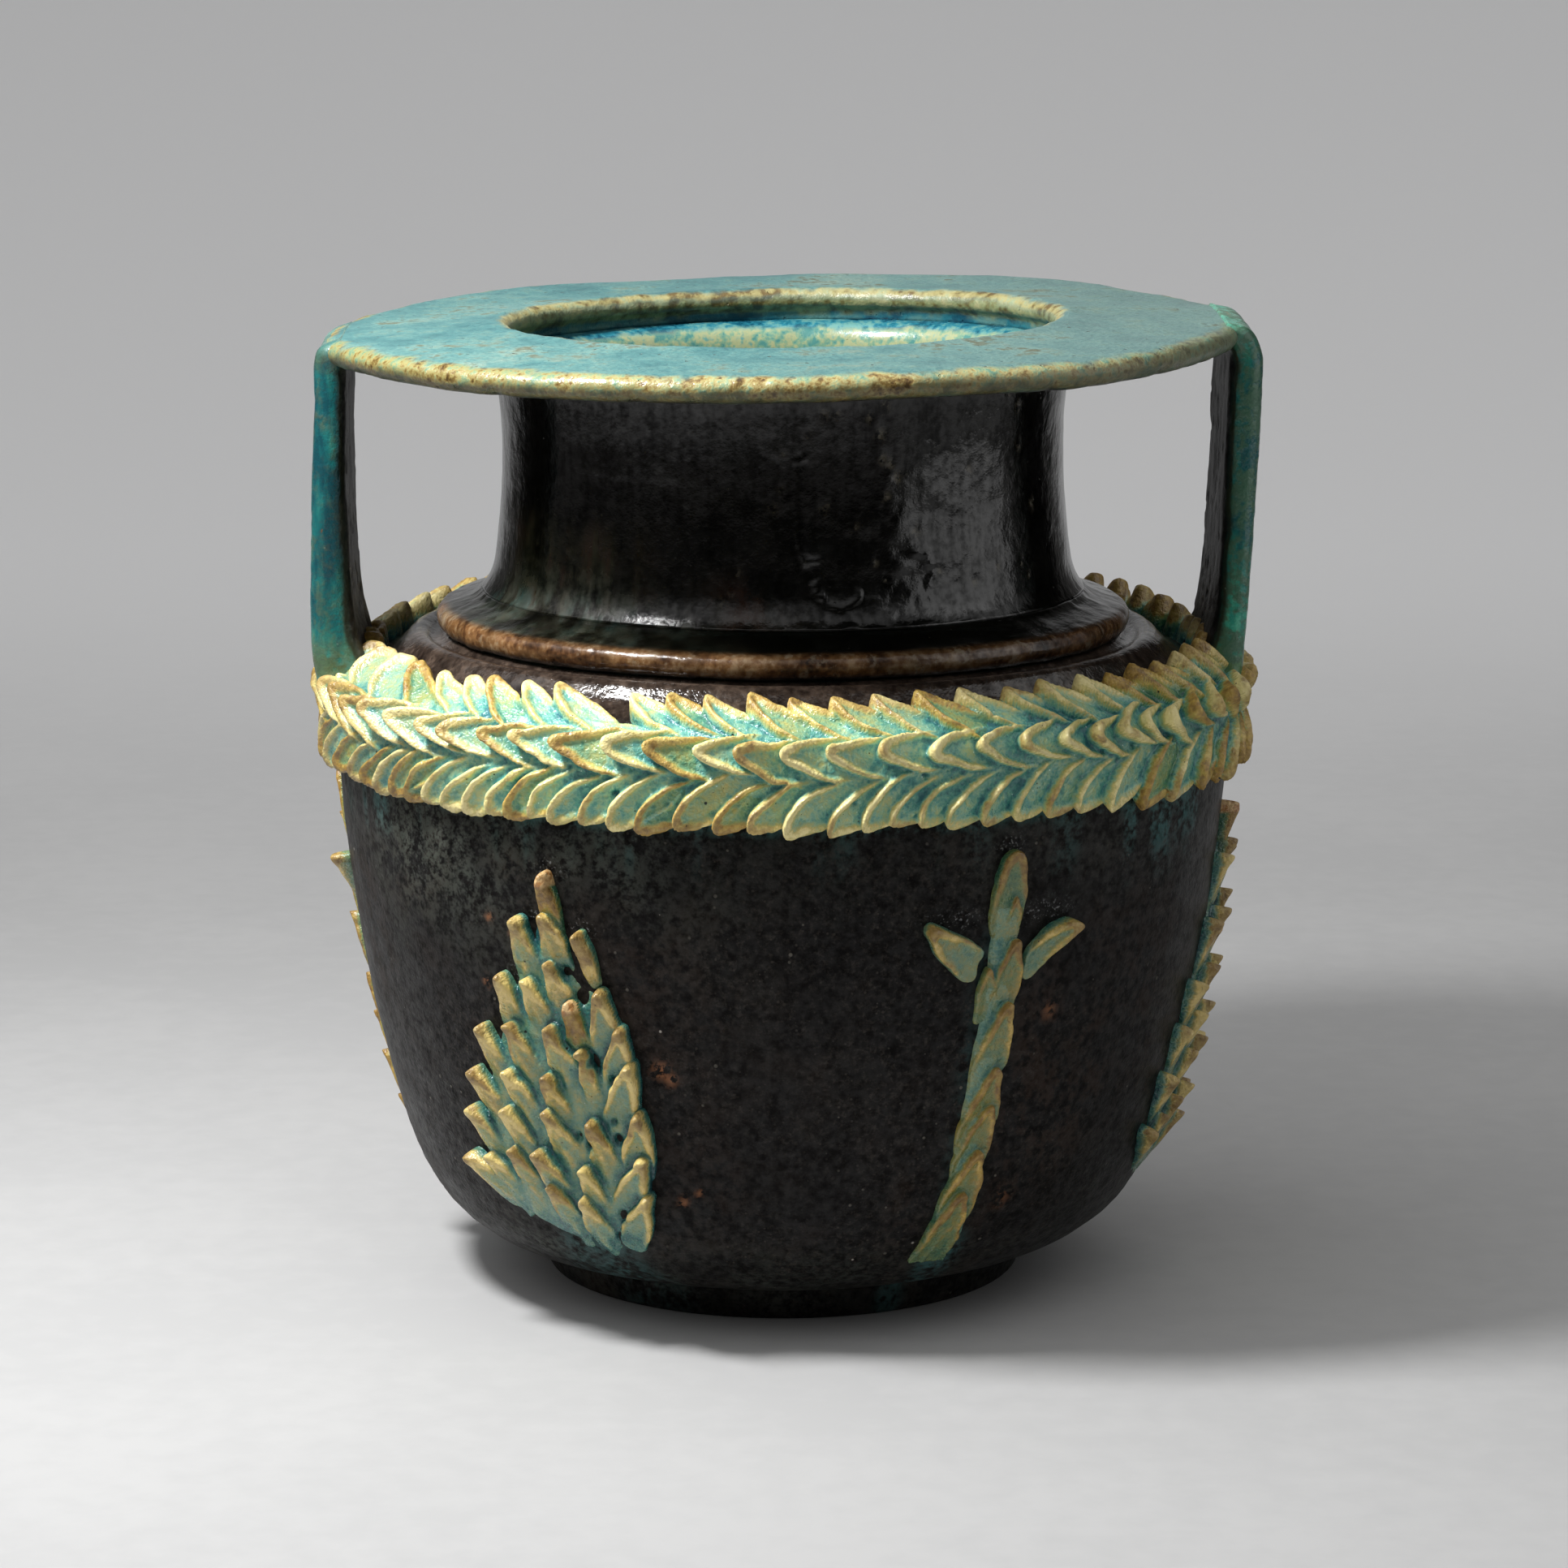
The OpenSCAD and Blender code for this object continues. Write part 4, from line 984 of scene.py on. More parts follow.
def stalk(name, az, seed, flip=1):
    p = bowl_patch(az, 13.5, 16.5, 101.5, 0.2)
    wob = 0.0 if seed == 181 else 1.0
    mid = lambda z: -1.6 + 3.4 * (z - 20) / 75   # it leans to the right as it climbs
    P = np.stack([p.A * 1.4, p.T, 0 * p.T], -1).reshape(-1, 3)
    n = noise(P, 4.0, seed + 3).reshape(p.A.shape)
    x = (p.A - az - flip * mid(p.T)) * 1.4
    half = 2.7 + 0.5 * n
    d = half - np.abs(x)
    bed = (0.7 + 0.3 * smooth(d, 0, 2.5)) * smooth(p.T, 16.5, 23) - 0.8 * (1 - smooth(d, 0, 0.9))
    bed = np.where(d > 0, bed, bed + 5 * d)
    bed = np.where(p.T > 88, -2.4, bed)
    p.h = np.maximum(p.h, bed)
    rows = [(1.7, 98.4, 0, APEX, 1.0, 2.6, 0.9, 1), (2.3, 90.3, 2, TWIST, 0.52, 2.5, 0.4, 0), (2.2, 81.8, 0, TWIST, 1.0, 2.7, 0.5, 0), (-1.0, 76.0, 8, TWIST, 0.6, 1.7, 0.6, 0),
            (1.4, 69.2, 0, TWIST, 1.06, 3.1, 0.4, 0), (0.9, 56.6, -2, TWIST, 1.08, 2.9, 0.8, 1), (0.8, 49.6, -3, TWIST, 1.02, 2.7, 0.6, 0),
            (-0.2, 40.0, -4, TWIST, 1.12, 3.0, 0.5, 0), (-1.6, 31.9, -5, TWIST, 1.12, 2.8, 0.8, 0), (-2.0, 25.0, -4, TWIST, 0.9, 1.4, 0.8, 0)]
    for i, (da, z, lean, shape, sz, rise, odd, broken) in enumerate(rows):
        q = np.array(shape) * np.array([flip, 1])
        j = i + 20 * (seed % 5)
        p.leaf(az + flip * da + 0.3 * wob * rnd(j, 182), z + 0.9 * wob * rnd(j, 183), q, (-1.4 * flip, -15.0), (0.2 * flip, -0.6), 0.5, rise * (1 + 0.08 * rnd(j, 184)), w=0.50,
               dep=0.42, rot=flip * lean + 2 * wob * rnd(j, 185), size=sz, k=float(bowl_r(z)) * math.pi / 180, odd=odd, power=1.1, wide=1.1, blunt=0.6 if broken else 0.0)
    q = np.array(SIDE_L) * np.array([flip, 1])
    p.leaf(az - flip * 8.7, 84.9, q, (8.2 * flip, -8.4), (0.2 * flip, -0.4), 0.9, 3.9, w=0.5, dep=0.8, rot=1.5 * flip, size=1.0, k=1.5, wall=7, odd=0.2, wide=1.0)
    q = np.array(SIDE_R) * np.array([flip, 1])
    p.leaf(az + flip * 10.6, 83.0, q, (-8.0 * flip, -7.8), (0.2 * flip, 0.0), 0.8, 3.9, w=0.5, dep=0.7, rot=-1.5 * flip, size=1.0, k=1.5, wall=7, odd=0.25, wide=1.0)
    p.finish(soft=0.13, lump=0.10, hang=0.14, seed=seed + 20, base=0.9, lean=0.30)
    p.ridge = p.ridge * 0.8 + 0.06 - 0.3 * (1 - smooth(p.T, 18, 27))
    p.odd = np.clip(p.odd + 0.40, 0, 1)
    return p.sprig(name, -1.3, -0.45)


pieces["stalk_front"] = stalk("stalk_front_piece", STALK_AZ[0], 181)
pieces["stalk_back"] = stalk("stalk_back_piece", STALK_AZ[1], 191, -1)
pieces["stalk_left"] = stalk("stalk_left_piece", STALK_AZ[2], 201)


# ---------------------------------------------------------------- glazes
class Glaze:
    """A procedural material, built node by node."""

    def __init__(self, name, roughness=0.3, **sockets):
        self.m = bpy.data.materials.new(name)
        self.m.use_nodes = True
        self.nodes, self.links = self.m.node_tree.nodes, self.m.node_tree.links
        self.shader = self.nodes["Principled BSDF"]
        self.shader.inputs["Roughness"].default_value = roughness
        for k, v in sockets.items():
            self.shader.inputs[k.replace("_", " ")].default_value = v
        self.pos = self.nodes.new("ShaderNodeTexCoord").outputs["Object"]

    def put(self, socket, v):
        if isinstance(v, bpy.types.NodeSocket):
            self.links.new(v, socket)
        else:
            socket.default_value = v

    def math(self, op, a, b=0.0, c=0.0, clamp=False):
        n = self.nodes.new("ShaderNodeMath")
        n.operation = op
        n.use_clamp = clamp
        for s, v in zip(n.inputs, (a, b, c)):
            self.put(s, v)
        return n.outputs[0]

    def add(self, *vals):
        out = vals[0]
        for v in vals[1:]:
            out = self.math("ADD", out, v)
        return out

    def mul(self, a, b, clamp=False):
        return self.math("MULTIPLY", a, b, clamp=clamp)

    def scaled(self, x, y, z):
        n = self.nodes.new("ShaderNodeMapping")
        n.inputs["Scale"].default_value = (x, y, z)
        self.links.new(self.pos, n.inputs["Vector"])
        return n.outputs[0]

    def noise(self, mm, detail=3.0, rough=0.55, vec=None, distortion=0.0, seed=0.0):
        """Noise with features of about mm."""
        n = self.nodes.new("ShaderNodeTexNoise")
        n.noise_dimensions = "4D"
        n.inputs["W"].default_value = seed
        n.inputs["Scale"].default_value = 1000.0 / (1.6 * mm)
        n.inputs["Detail"].default_value = detail
        n.inputs["Roughness"].default_value = rough
        n.inputs["Distortion"].default_value = distortion
        self.links.new(vec or self.pos, n.inputs["Vector"])
        return self.math("MULTIPLY_ADD", n.outputs[0], 1.8, -0.4, clamp=True)

    def cells(self, mm, vec=None, what="Distance"):
        n = self.nodes.new("ShaderNodeTexVoronoi")
        n.inputs["Scale"].default_value = 1000.0 / mm
        self.links.new(vec or self.pos, n.inputs["Vector"])
        return n.outputs["Distance"], n.outputs["Color"]

    def specks(self, mm, share, size, vec=None):
        """Round specks, one in some of the cells of mm; share of cells, size as a part of the cell."""
        d, c = self.cells(mm, vec)
        s = self.nodes.new("ShaderNodeSeparateColor")
        self.links.new(c, s.inputs[0])
        keep = self.math("GREATER_THAN", s.outputs[0], 1.0 - share)
        big = self.math("MULTIPLY_ADD", s.outputs[1], size * 0.7, size * 0.45)
        spot = self.math("SUBTRACT", big, d)
        spot = self.math("MULTIPLY", spot, 1.0 / (size * 0.35), clamp=True)
        return self.mul(keep, spot)

    def step(self, v, a, b, lo=0.0, hi=1.0):
        n = self.nodes.new("ShaderNodeMapRange")
        n.interpolation_type = "SMOOTHSTEP"
        self.put(n.inputs["Value"], v)
        n.inputs["From Min"].default_value = a
        n.inputs["From Max"].default_value = b
        n.inputs["To Min"].default_value = lo
        n.inputs["To Max"].default_value = hi
        return n.outputs[0]

    def ramp(self, f, stops):
        n = self.nodes.new("ShaderNodeValToRGB")
        el = n.color_ramp.elements
        while len(el) > 1:
            el.remove(el[0])
        el[0].position, el[0].color = stops[0][0], (*stops[0][1], 1)
        for p, c in stops[1:]:
            e = el.new(p)
            e.color = (*c, 1)
        self.put(n.inputs[0], f)
        return n.outputs[0]

    def mix(self, f, a, b, mode="MIX"):
        n = self.nodes.new("ShaderNodeMix")
        n.data_type = "RGBA"
        n.blend_type = mode
        n.clamp_factor = True
        self.put(n.inputs[0], f)
        for s, v in ((n.inputs[6], a), (n.inputs[7], b)):
            self.put(s, (*v, 1) if isinstance(v, tuple) else v)
        return n.outputs[2]

    def attr(self, name):
        n = self.nodes.new("ShaderNodeAttribute")
        n.attribute_name = name
        return n.outputs["Fac"]

    def bump(self, height, distance, strength=1.0, normal=None):
        n = self.nodes.new("ShaderNodeBump")
        n.inputs["Distance"].default_value = distance
        n.inputs["Strength"].default_value = strength
        self.links.new(height, n.inputs["Height"])
        if normal:
            self.links.new(normal, n.inputs["Normal"])
        return n.outputs[0]

    def colour(self, c):
        self.put(self.shader.inputs["Base Color"], c)

    def rough(self, r):
        self.put(self.shader.inputs["Roughness"], r)

    def normal(self, n):
        self.links.new(n, self.shader.inputs["Normal"])


def inside_colour(g):
    """The glaze inside the jar: thin turquoise-green over a sandy body."""
    n = g.noise(9, 4)
    n2 = g.noise(2, 3, seed=3)
    return g.ramp(g.add(g.mul(n, 0.7), g.mul(n2, 0.35)), [(0.30, (0.05, 0.20, 0.19)), (0.48, (0.12, 0.30, 0.25)), (0.60, (0.25, 0.34, 0.21)), (0.75, (0.42, 0.36, 0.18))])


def dark_glaze():
    g = Glaze("bowl_glaze", 0.34)
    g.shader.inputs["Specular IOR Level"].default_value = 0.16
    n_big = g.noise(26, 4, seed=1)
    n_mid = g.noise(5, 4, seed=2)
    n_fine = g.noise(0.9, 3, seed=3)
    n_dust = g.noise(0.35, 2, seed=4)
    base = g.ramp(g.add(g.mul(n_big, 0.45), g.mul(n_mid, 0.35), g.mul(n_fine, 0.25)),
                  [(0.30, (0.0022, 0.0019, 0.0018)), (0.50, (0.0042, 0.0036, 0.0034)), (0.66, (0.0090, 0.0072, 0.0062)), (0.85, (0.018, 0.013, 0.010))])
    brown = g.mul(g.attr("brown"), g.step(g.add(g.mul(n_mid, 0.6), g.mul(n_fine, 0.5)), 0.48, 0.66))
    base = g.mix(g.mul(brown, 0.6), base, (0.030, 0.017, 0.011))
    haze = g.mul(g.attr("haze"), g.step(g.add(g.mul(n_fine, 0.5), g.mul(n_dust, 0.35), g.mul(n_mid, 0.3)), 0.44, 0.72))
    base = g.mix(g.mul(haze, 0.75), base, (0.075, 0.085, 0.070))
    turq = g.mul(g.attr("turq"), g.step(g.add(g.mul(n_mid, 0.5), g.mul(n_fine, 0.45)), 0.36, 0.60))
    base = g.mix(g.mul(turq, 0.8), base, (0.055, 0.17, 0.17))
    # fine mineral specks, thicker in some places
    cloud = g.step(g.noise(18, 3, seed=6), 0.38, 0.66, 0.25, 1.0)
    s1 = g.mul(g.specks(1.15, 0.22, 0.26), cloud)
    s2 = g.mul(g.specks(2.3, 0.14, 0.17), cloud)
    s3 = g.specks(6.0, 0.16, 0.065)
    base = g.mix(g.mul(s1, 0.8), base, (0.044, 0.038, 0.031))
    base = g.mix(g.mul(s2, 0.9), base, (0.13, 0.12, 0.10))
    grain = g.step(g.noise(0.6, 3, 0.7, seed=7), 0.46, 0.92)
    base = g.mix(g.mul(grain, g.mul(cloud, 0.8)), base, (0.040, 0.034, 0.028))
    base = g.mix(s3, base, (0.36, 0.33, 0.29))
    rust = g.mul(g.attr("rust"), g.step(n_fine, 0.40, 0.56))
    base = g.mix(rust, base, (0.32, 0.13, 0.055))
    # above the leaf tips: pale specks as painted glints, near-black specks as the dark rough halo
    frit = g.attr("frit")
    base = g.mix(g.mul(frit, g.step(n_dust, 0.62, 0.80)), base, (0.45, 0.46, 0.47))
    base = g.mix(g.mul(frit, g.step(n_dust, 0.60, 0.45)), base, (0.002, 0.002, 0.002))
    # the shoulder's glaze is brown and shiny
    gloss = g.attr("gloss")
    amber = g.ramp(g.add(g.mul(n_mid, 0.5), g.mul(n_fine, 0.5)), [(0.30, (0.014, 0.009, 0.007)), (0.52, (0.042, 0.029, 0.022)), (0.75, (0.10, 0.070, 0.052))])
    base = g.mix(g.mul(gloss, 0.85), base, amber)
    g.colour(g.mix(g.attr("inner"), base, inside_colour(g)))
    r = g.add(0.30, g.mul(n_mid, 0.16), g.mul(g.attr("haze"), 0.18), g.mul(brown, 0.12), g.mul(n_dust, 0.10), g.mul(gloss, -0.30))
    g.rough(g.math("MINIMUM", r, 0.7))
    patchy = g.step(g.add(g.mul(n_fine, 0.45), g.mul(g.noise(1.7, 3, 0.7, seed=8), 0.55)), 0.25, 0.75, 0.35, 1.45)
    g.put(g.shader.inputs["Specular IOR Level"], g.mul(g.step(gloss, 0.0, 1.0, 0.15, 0.6), patchy))
    h = g.add(g.mul(n_mid, 0.6), g.mul(n_fine, 0.35), g.mul(n_dust, 0.2), g.mul(s2, 0.6), g.mul(frit, g.mul(n_dust, 1.6)))
    g.normal(g.bump(h, 0.00022))
    return g.m


def neck_glaze():
    g = Glaze("neck_glaze", 0.10)
    n_big = g.noise(22, 3, seed=11)
    n_mid = g.noise(4, 4, seed=12)
    n_fine = g.noise(0.8, 3, seed=13)
    run = g.noise(2.6, 3, vec=g.scaled(1, 1, 0.10), seed=14)
    run2 = g.noise(1.0, 2, vec=g.scaled(1, 1, 0.07), seed=15)
    base = g.ramp(g.add(g.mul(n_big, 0.5), g.mul(n_mid, 0.5)), [(0.30, (0.0014, 0.0014, 0.0009)), (0.55, (0.0026, 0.0026, 0.0016)), (0.80, (0.0060, 0.0058, 0.0036))])
    olive = g.mul(g.attr("olive"), g.step(g.add(g.mul(run, 0.45), g.mul(n_mid, 0.35), g.mul(n_fine, 0.2)), 0.22, 0.80))
    base = g.mix(olive, base, g.ramp(g.add(g.mul(run2, 0.4), g.mul(n_mid, 0.6)), [(0.32, (0.026, 0.030, 0.016)), (0.50, (0.056, 0.054, 0.026)), (0.68, (0.050, 0.028, 0.013))]))
    base = g.mix(g.mul(g.attr("brown"), g.step(n_mid, 0.34, 0.62)), base, (0.040, 0.014, 0.006))
    haze = g.mul(g.attr("haze"), g.step(g.add(g.mul(n_mid, 0.5), g.mul(run, 0.5)), 0.36, 0.62))
    base = g.mix(g.mul(haze, 0.8), base, (0.10, 0.115, 0.085))
    base = g.mix(g.mul(g.attr("turq"), g.step(run, 0.4, 0.6)), base, (0.07, 0.15, 0.14))
    bead = g.attr("bead")
    amber = g.ramp(g.add(g.mul(n_mid, 0.45), g.mul(n_fine, 0.35), g.mul(n_big, 0.25)),
                   [(0.30, (0.022, 0.011, 0.006)), (0.44, (0.095, 0.042, 0.016)), (0.57, (0.20, 0.10, 0.038)), (0.72, (0.36, 0.24, 0.13))])
    base = g.mix(g.mul(bead, 0.9), base, amber)
    pale = g.mul(g.attr("pale"), g.step(n_fine, 0.36, 0.60))
    base = g.mix(pale, base, (0.22, 0.19, 0.13))
    s1 = g.specks(1.4, 0.06, 0.16)
    base = g.mix(g.mul(s1, 0.6), base, (0.06, 0.055, 0.04))
    base = g.mix(g.attr("inner"), base, inside_colour(g))
    blue = g.ramp(g.add(g.mul(n_mid, 0.6), g.mul(n_fine, 0.4)), [(0.36, (0.006, 0.075, 0.12)), (0.50, (0.022, 0.18, 0.24)), (0.62, (0.12, 0.30, 0.28))])
    base = g.mix(g.attr("cove"), base, blue)
    cream = g.ramp(g.add(g.mul(n_mid, 0.6), g.mul(n_fine, 0.4)), [(0.36, (0.07, 0.22, 0.20)), (0.45, (0.17, 0.30, 0.20)), (0.54, (0.34, 0.36, 0.19)), (0.62, (0.28, 0.34, 0.20)), (0.70, (0.10, 0.26, 0.23))])
    base = g.mix(g.attr("ledge"), base, cream)
    g.colour(base)
    r = g.add(0.11, g.mul(n_mid, 0.07), g.mul(haze, 0.35), g.mul(g.attr("haze"), 0.15), g.mul(olive, 0.10), g.mul(bead, 0.10), g.mul(n_fine, 0.05), g.mul(pale, 0.3),
              g.mul(g.attr("inner"), 0.12))
    g.rough(g.math("MINIMUM", r, 0.7))
    g.put(g.shader.inputs["Specular IOR Level"], g.step(g.add(g.mul(n_fine, 0.4), g.mul(n_mid, 0.3), g.mul(run2, 0.3)), 0.28, 0.66, 0.22, 0.62))
    n_dust = g.noise(0.4, 2, seed=16)
    h = g.add(g.mul(n_mid, 0.40), g.mul(n_fine, 0.26), g.mul(run, 0.10), g.mul(n_dust, 0.13), g.mul(pale, -0.5), g.mul(s1, 0.5))
    g.normal(g.bump(h, 0.00016))
    return g.m


def rim_glaze():
    g = Glaze("rim_glaze", 0.3)
    n_big = g.noise(24, 4, seed=21)
    n_mid = g.noise(6, 5, seed=22)
    n_fine = g.noise(1.3, 4, seed=23)
    n_dust = g.noise(0.45, 2, seed=24)
    blue = g.ramp(g.add(g.mul(n_big, 0.45), g.mul(n_mid, 0.4), g.mul(n_fine, 0.2)),
                  [(0.32, (0.050, 0.190, 0.205)), (0.46, (0.090, 0.262, 0.268)), (0.57, (0.140, 0.320, 0.305)), (0.70, (0.26, 0.40, 0.345))])
    # towards the right the plate is paler and greyer
    sp = g.nodes.new("ShaderNodeSeparateXYZ")
    g.links.new(g.pos, sp.inputs[0])
    blue = g.mix(g.step(sp.outputs["X"], -0.02, 0.08, 0.0, 0.45), blue, (0.245, 0.355, 0.315))
    blue = g.mix(1.0, blue, g.ramp(n_dust, [(0.25, (0.74, 0.80, 0.84)), (0.5, (1.0, 1.0, 1.0)), (0.8, (1.22, 1.14, 1.10))]), mode="MULTIPLY")
    stain = g.step(g.add(g.mul(n_mid, 0.50), g.mul(n_fine, 0.50)), 0.545, 0.68)
    blue = g.mix(g.mul(stain, g.step(n_big, 0.42, 0.58, 0.25, 0.8)), blue, (0.11, 0.105, 0.055))
    scratch = g.step(g.noise(1.1, 4, 0.65, vec=g.scaled(0.55, 1.0, 1.0), seed=25, distortion=0.6), 0.70, 0.84)
    blue = g.mix(g.mul(scratch, g.mul(g.step(n_big, 0.40, 0.6), 0.6)), blue, (0.060, 0.060, 0.040))
    s = g.specks(1.7, 0.20, 0.22)
    blue = g.mix(g.mul(s, 0.8), blue, (0.050, 0.040, 0.022))
    s2 = g.specks(2.4, 0.10, 0.09)
    blue = g.mix(g.mul(s2, 0.8), blue, (0.55, 0.66, 0.62))
    sand = g.ramp(g.add(g.mul(n_mid, 0.30), g.mul(n_fine, 0.45), g.mul(n_dust, 0.25)),
                  [(0.28, (0.11, 0.060, 0.020)), (0.37, (0.30, 0.20, 0.070)), (0.45, (0.50, 0.41, 0.19)), (0.52, (0.52, 0.51, 0.28)), (0.59, (0.34, 0.47, 0.32)), (0.67, (0.17, 0.36, 0.31))])
    moss = g.ramp(n_mid, [(0.36, (0.055, 0.085, 0.035)), (0.6, (0.13, 0.22, 0.14))])
    # on the left, where the key lamp falls, the edge's sand colour is darkened: painted shade to tone down the lamp's
    # light
    sand = g.mix(g.step(sp.outputs["X"], 0.0, -0.065, 0.0, 1.0), sand, g.mix(1.0, sand, (0.68, 0.68, 0.62), mode="MULTIPLY"))
    sand = g.mix(1.0, sand, (0.95, 0.96, 0.82), mode="MULTIPLY")
    blue = g.mix(1.0, blue, (0.95, 0.95, 0.94), mode="MULTIPLY")
    base = g.mix(g.attr("edge"), blue, sand)
    # the lower half of the edge is painted dark olive-brown: painted shade where the edge turns under away from the
    # light
    base = g.mix(g.mul(g.attr("low"), g.step(g.add(g.mul(n_mid, 0.5), g.mul(n_fine, 0.5)), 0.30, 0.60, 0.35, 0.92)), base, (0.075, 0.068, 0.026))
    base = g.mix(g.mul(g.attr("green"), g.mul(g.attr("edge"), 0.45)), base, (0.11, 0.24, 0.18))
    lip = g.ramp(g.add(g.mul(n_mid, 0.5), g.mul(n_fine, 0.5)), [(0.34, (0.16, 0.11, 0.035)), (0.43, (0.33, 0.29, 0.115)), (0.54, (0.46, 0.42, 0.19)), (0.68, (0.32, 0.40, 0.24))])
    base = g.mix(g.attr("lip"), base, lip)
    base = g.mix(g.attr("wall"), base, g.ramp(g.add(g.mul(n_mid, 0.5), g.mul(n_fine, 0.5)), [(0.34, (0.085, 0.065, 0.020)), (0.45, (0.19, 0.18, 0.070)), (0.54, (0.25, 0.29, 0.14)), (0.66, (0.36, 0.36, 0.18))]))
    base = g.mix(g.attr("cove"), base, g.ramp(n_mid, [(0.38, (0.006, 0.075, 0.12)), (0.5, (0.02, 0.17, 0.22)), (0.64, (0.08, 0.22, 0.22))]))
    base = g.mix(g.attr("under"), base, g.ramp(n_mid, [(0.40, (0.010, 0.010, 0.008)), (0.58, (0.022, 0.022, 0.017)), (0.70, (0.05, 0.06, 0.045))]))
    g.colour(g.mix(g.attr("under"), g.mix(1.0, base, (0.80, 0.78, 0.77), mode="MULTIPLY"), base))
    r = g.add(0.26, g.mul(n_mid, 0.14), g.mul(n_fine, 0.12), g.mul(stain, 0.15), g.mul(g.attr("edge"), -0.06))
    g.rough(r)
    h = g.add(g.mul(n_mid, 0.5), g.mul(n_fine, 0.40), g.mul(n_dust, 0.30), g.mul(s, -0.6), g.mul(s2, 0.4))
    g.normal(g.bump(h, 0.00030))
    return g.m


def handle_glaze():
    g = Glaze("handle_glaze", 0.26)
    n_big = g.noise(20, 3, seed=31)
    run = g.noise(4.5, 4, vec=g.scaled(1, 1, 0.22), seed=32)
    run2 = g.noise(1.3, 3, vec=g.scaled(1, 1, 0.30), seed=33)
    n_mid = g.noise(5.0, 4, seed=34)
    n_fine = g.noise(1.0, 3, seed=35)
    v = g.add(g.mul(n_big, 0.35), g.mul(run, 0.40), g.mul(run2, 0.25))
    green = g.ramp(v, [(0.36, (0.004, 0.050, 0.062)), (0.46, (0.008, 0.105, 0.105)), (0.54, (0.022, 0.165, 0.140)), (0.64, (0.060, 0.230, 0.185)), (0.75, (0.10, 0.25, 0.17))])
    moss = g.step(g.add(g.mul(n_mid, 0.35), g.mul(run2, 0.35), g.mul(n_fine, 0.3)), 0.44, 0.68)
    green = g.mix(g.mul(moss, 0.45), green, g.ramp(n_fine, [(0.38, (0.040, 0.034, 0.010)), (0.6, (0.085, 0.075, 0.026))]))
    rust = g.step(g.noise(1.8, 3, vec=g.scaled(1, 1, 0.5), seed=38), 0.84, 0.92)
    green = g.mix(g.mul(rust, 0.8), green, (0.14, 0.05, 0.014))
    joint = g.mul(g.attr("joint"), g.step(g.add(g.mul(n_mid, 0.5), g.mul(n_fine, 0.5)), 0.46, 0.60))
    green = g.mix(g.mul(joint, 0.5), green, (0.09, 0.18, 0.14))
    green = g.mix(g.mul(g.attr("joint"), g.step(n_mid, 0.60, 0.48, 0.0, 0.7)), green, (0.085, 0.090, 0.025))
    green = g.mix(g.mul(g.attr("top"), 0.75), green, g.ramp(n_mid, [(0.4, (0.05, 0.17, 0.16)), (0.6, (0.13, 0.24, 0.205))]))
    dark = g.ramp(g.add(g.mul(n_fine, 0.5), g.mul(run2, 0.5)), [(0.38, (0.004, 0.004, 0.0035)), (0.55, (0.014, 0.014, 0.013)), (0.70, (0.032, 0.032, 0.030))])
    sp = g.nodes.new("ShaderNodeSeparateXYZ")
    g.links.new(g.pos, sp.inputs[0])
    # the right handle is painted lighter and greener than the left: olive mottling of its own, and painted light for
    # the side turned away from the key lamp; its dark inner face is painted lighter too and the left handle's darker, a
    # lit and a shaded copy of one glaze
    right = g.step(sp.outputs["X"], -0.02, 0.02)
    green = g.mix(g.mul(right, 1.0), green, g.mix(g.step(g.add(g.mul(n_mid, 0.5), g.mul(n_fine, 0.5)), 0.36, 0.60), g.mix(1.0, green, (1.6, 2.3, 1.9), mode="MULTIPLY"), (0.062, 0.165, 0.100)))
    dark = g.mix(right, g.mix(1.0, dark, (1.9, 1.85, 1.8), mode="MULTIPLY"), g.mix(1.0, dark, (0.75, 0.75, 0.75), mode="MULTIPLY"))
    inn = g.attr("inside")
    base = g.mix(inn, green, dark)
    # a brown margin where the dark glaze of the inner face meets the green
    rim = g.mul(g.step(inn, 0.05, 0.45), g.step(inn, 0.98, 0.6))
    base = g.mix(g.mul(rim, 0.8), base, (0.020, 0.020, 0.008))
    s = g.specks(1.1, 0.10, 0.16)
    base = g.mix(g.mul(s, 0.5), base, (0.20, 0.26, 0.20))
    pits = g.mul(g.specks(1.8, 0.22, 0.20), inn)
    base = g.mix(pits, base, (0.001, 0.001, 0.001))
    g.colour(base)
    r = g.add(0.16, g.mul(n_mid, 0.12), g.mul(n_fine, 0.10), g.mul(inn, 0.28))
    g.rough(r)
    h = g.add(g.mul(run, 0.35), g.mul(n_mid, 0.3), g.mul(n_fine, 0.36), g.mul(g.noise(0.5, 2, seed=39), 0.25), g.mul(pits, -1.2))
    g.normal(g.bump(h, 0.00030))
    return g.m


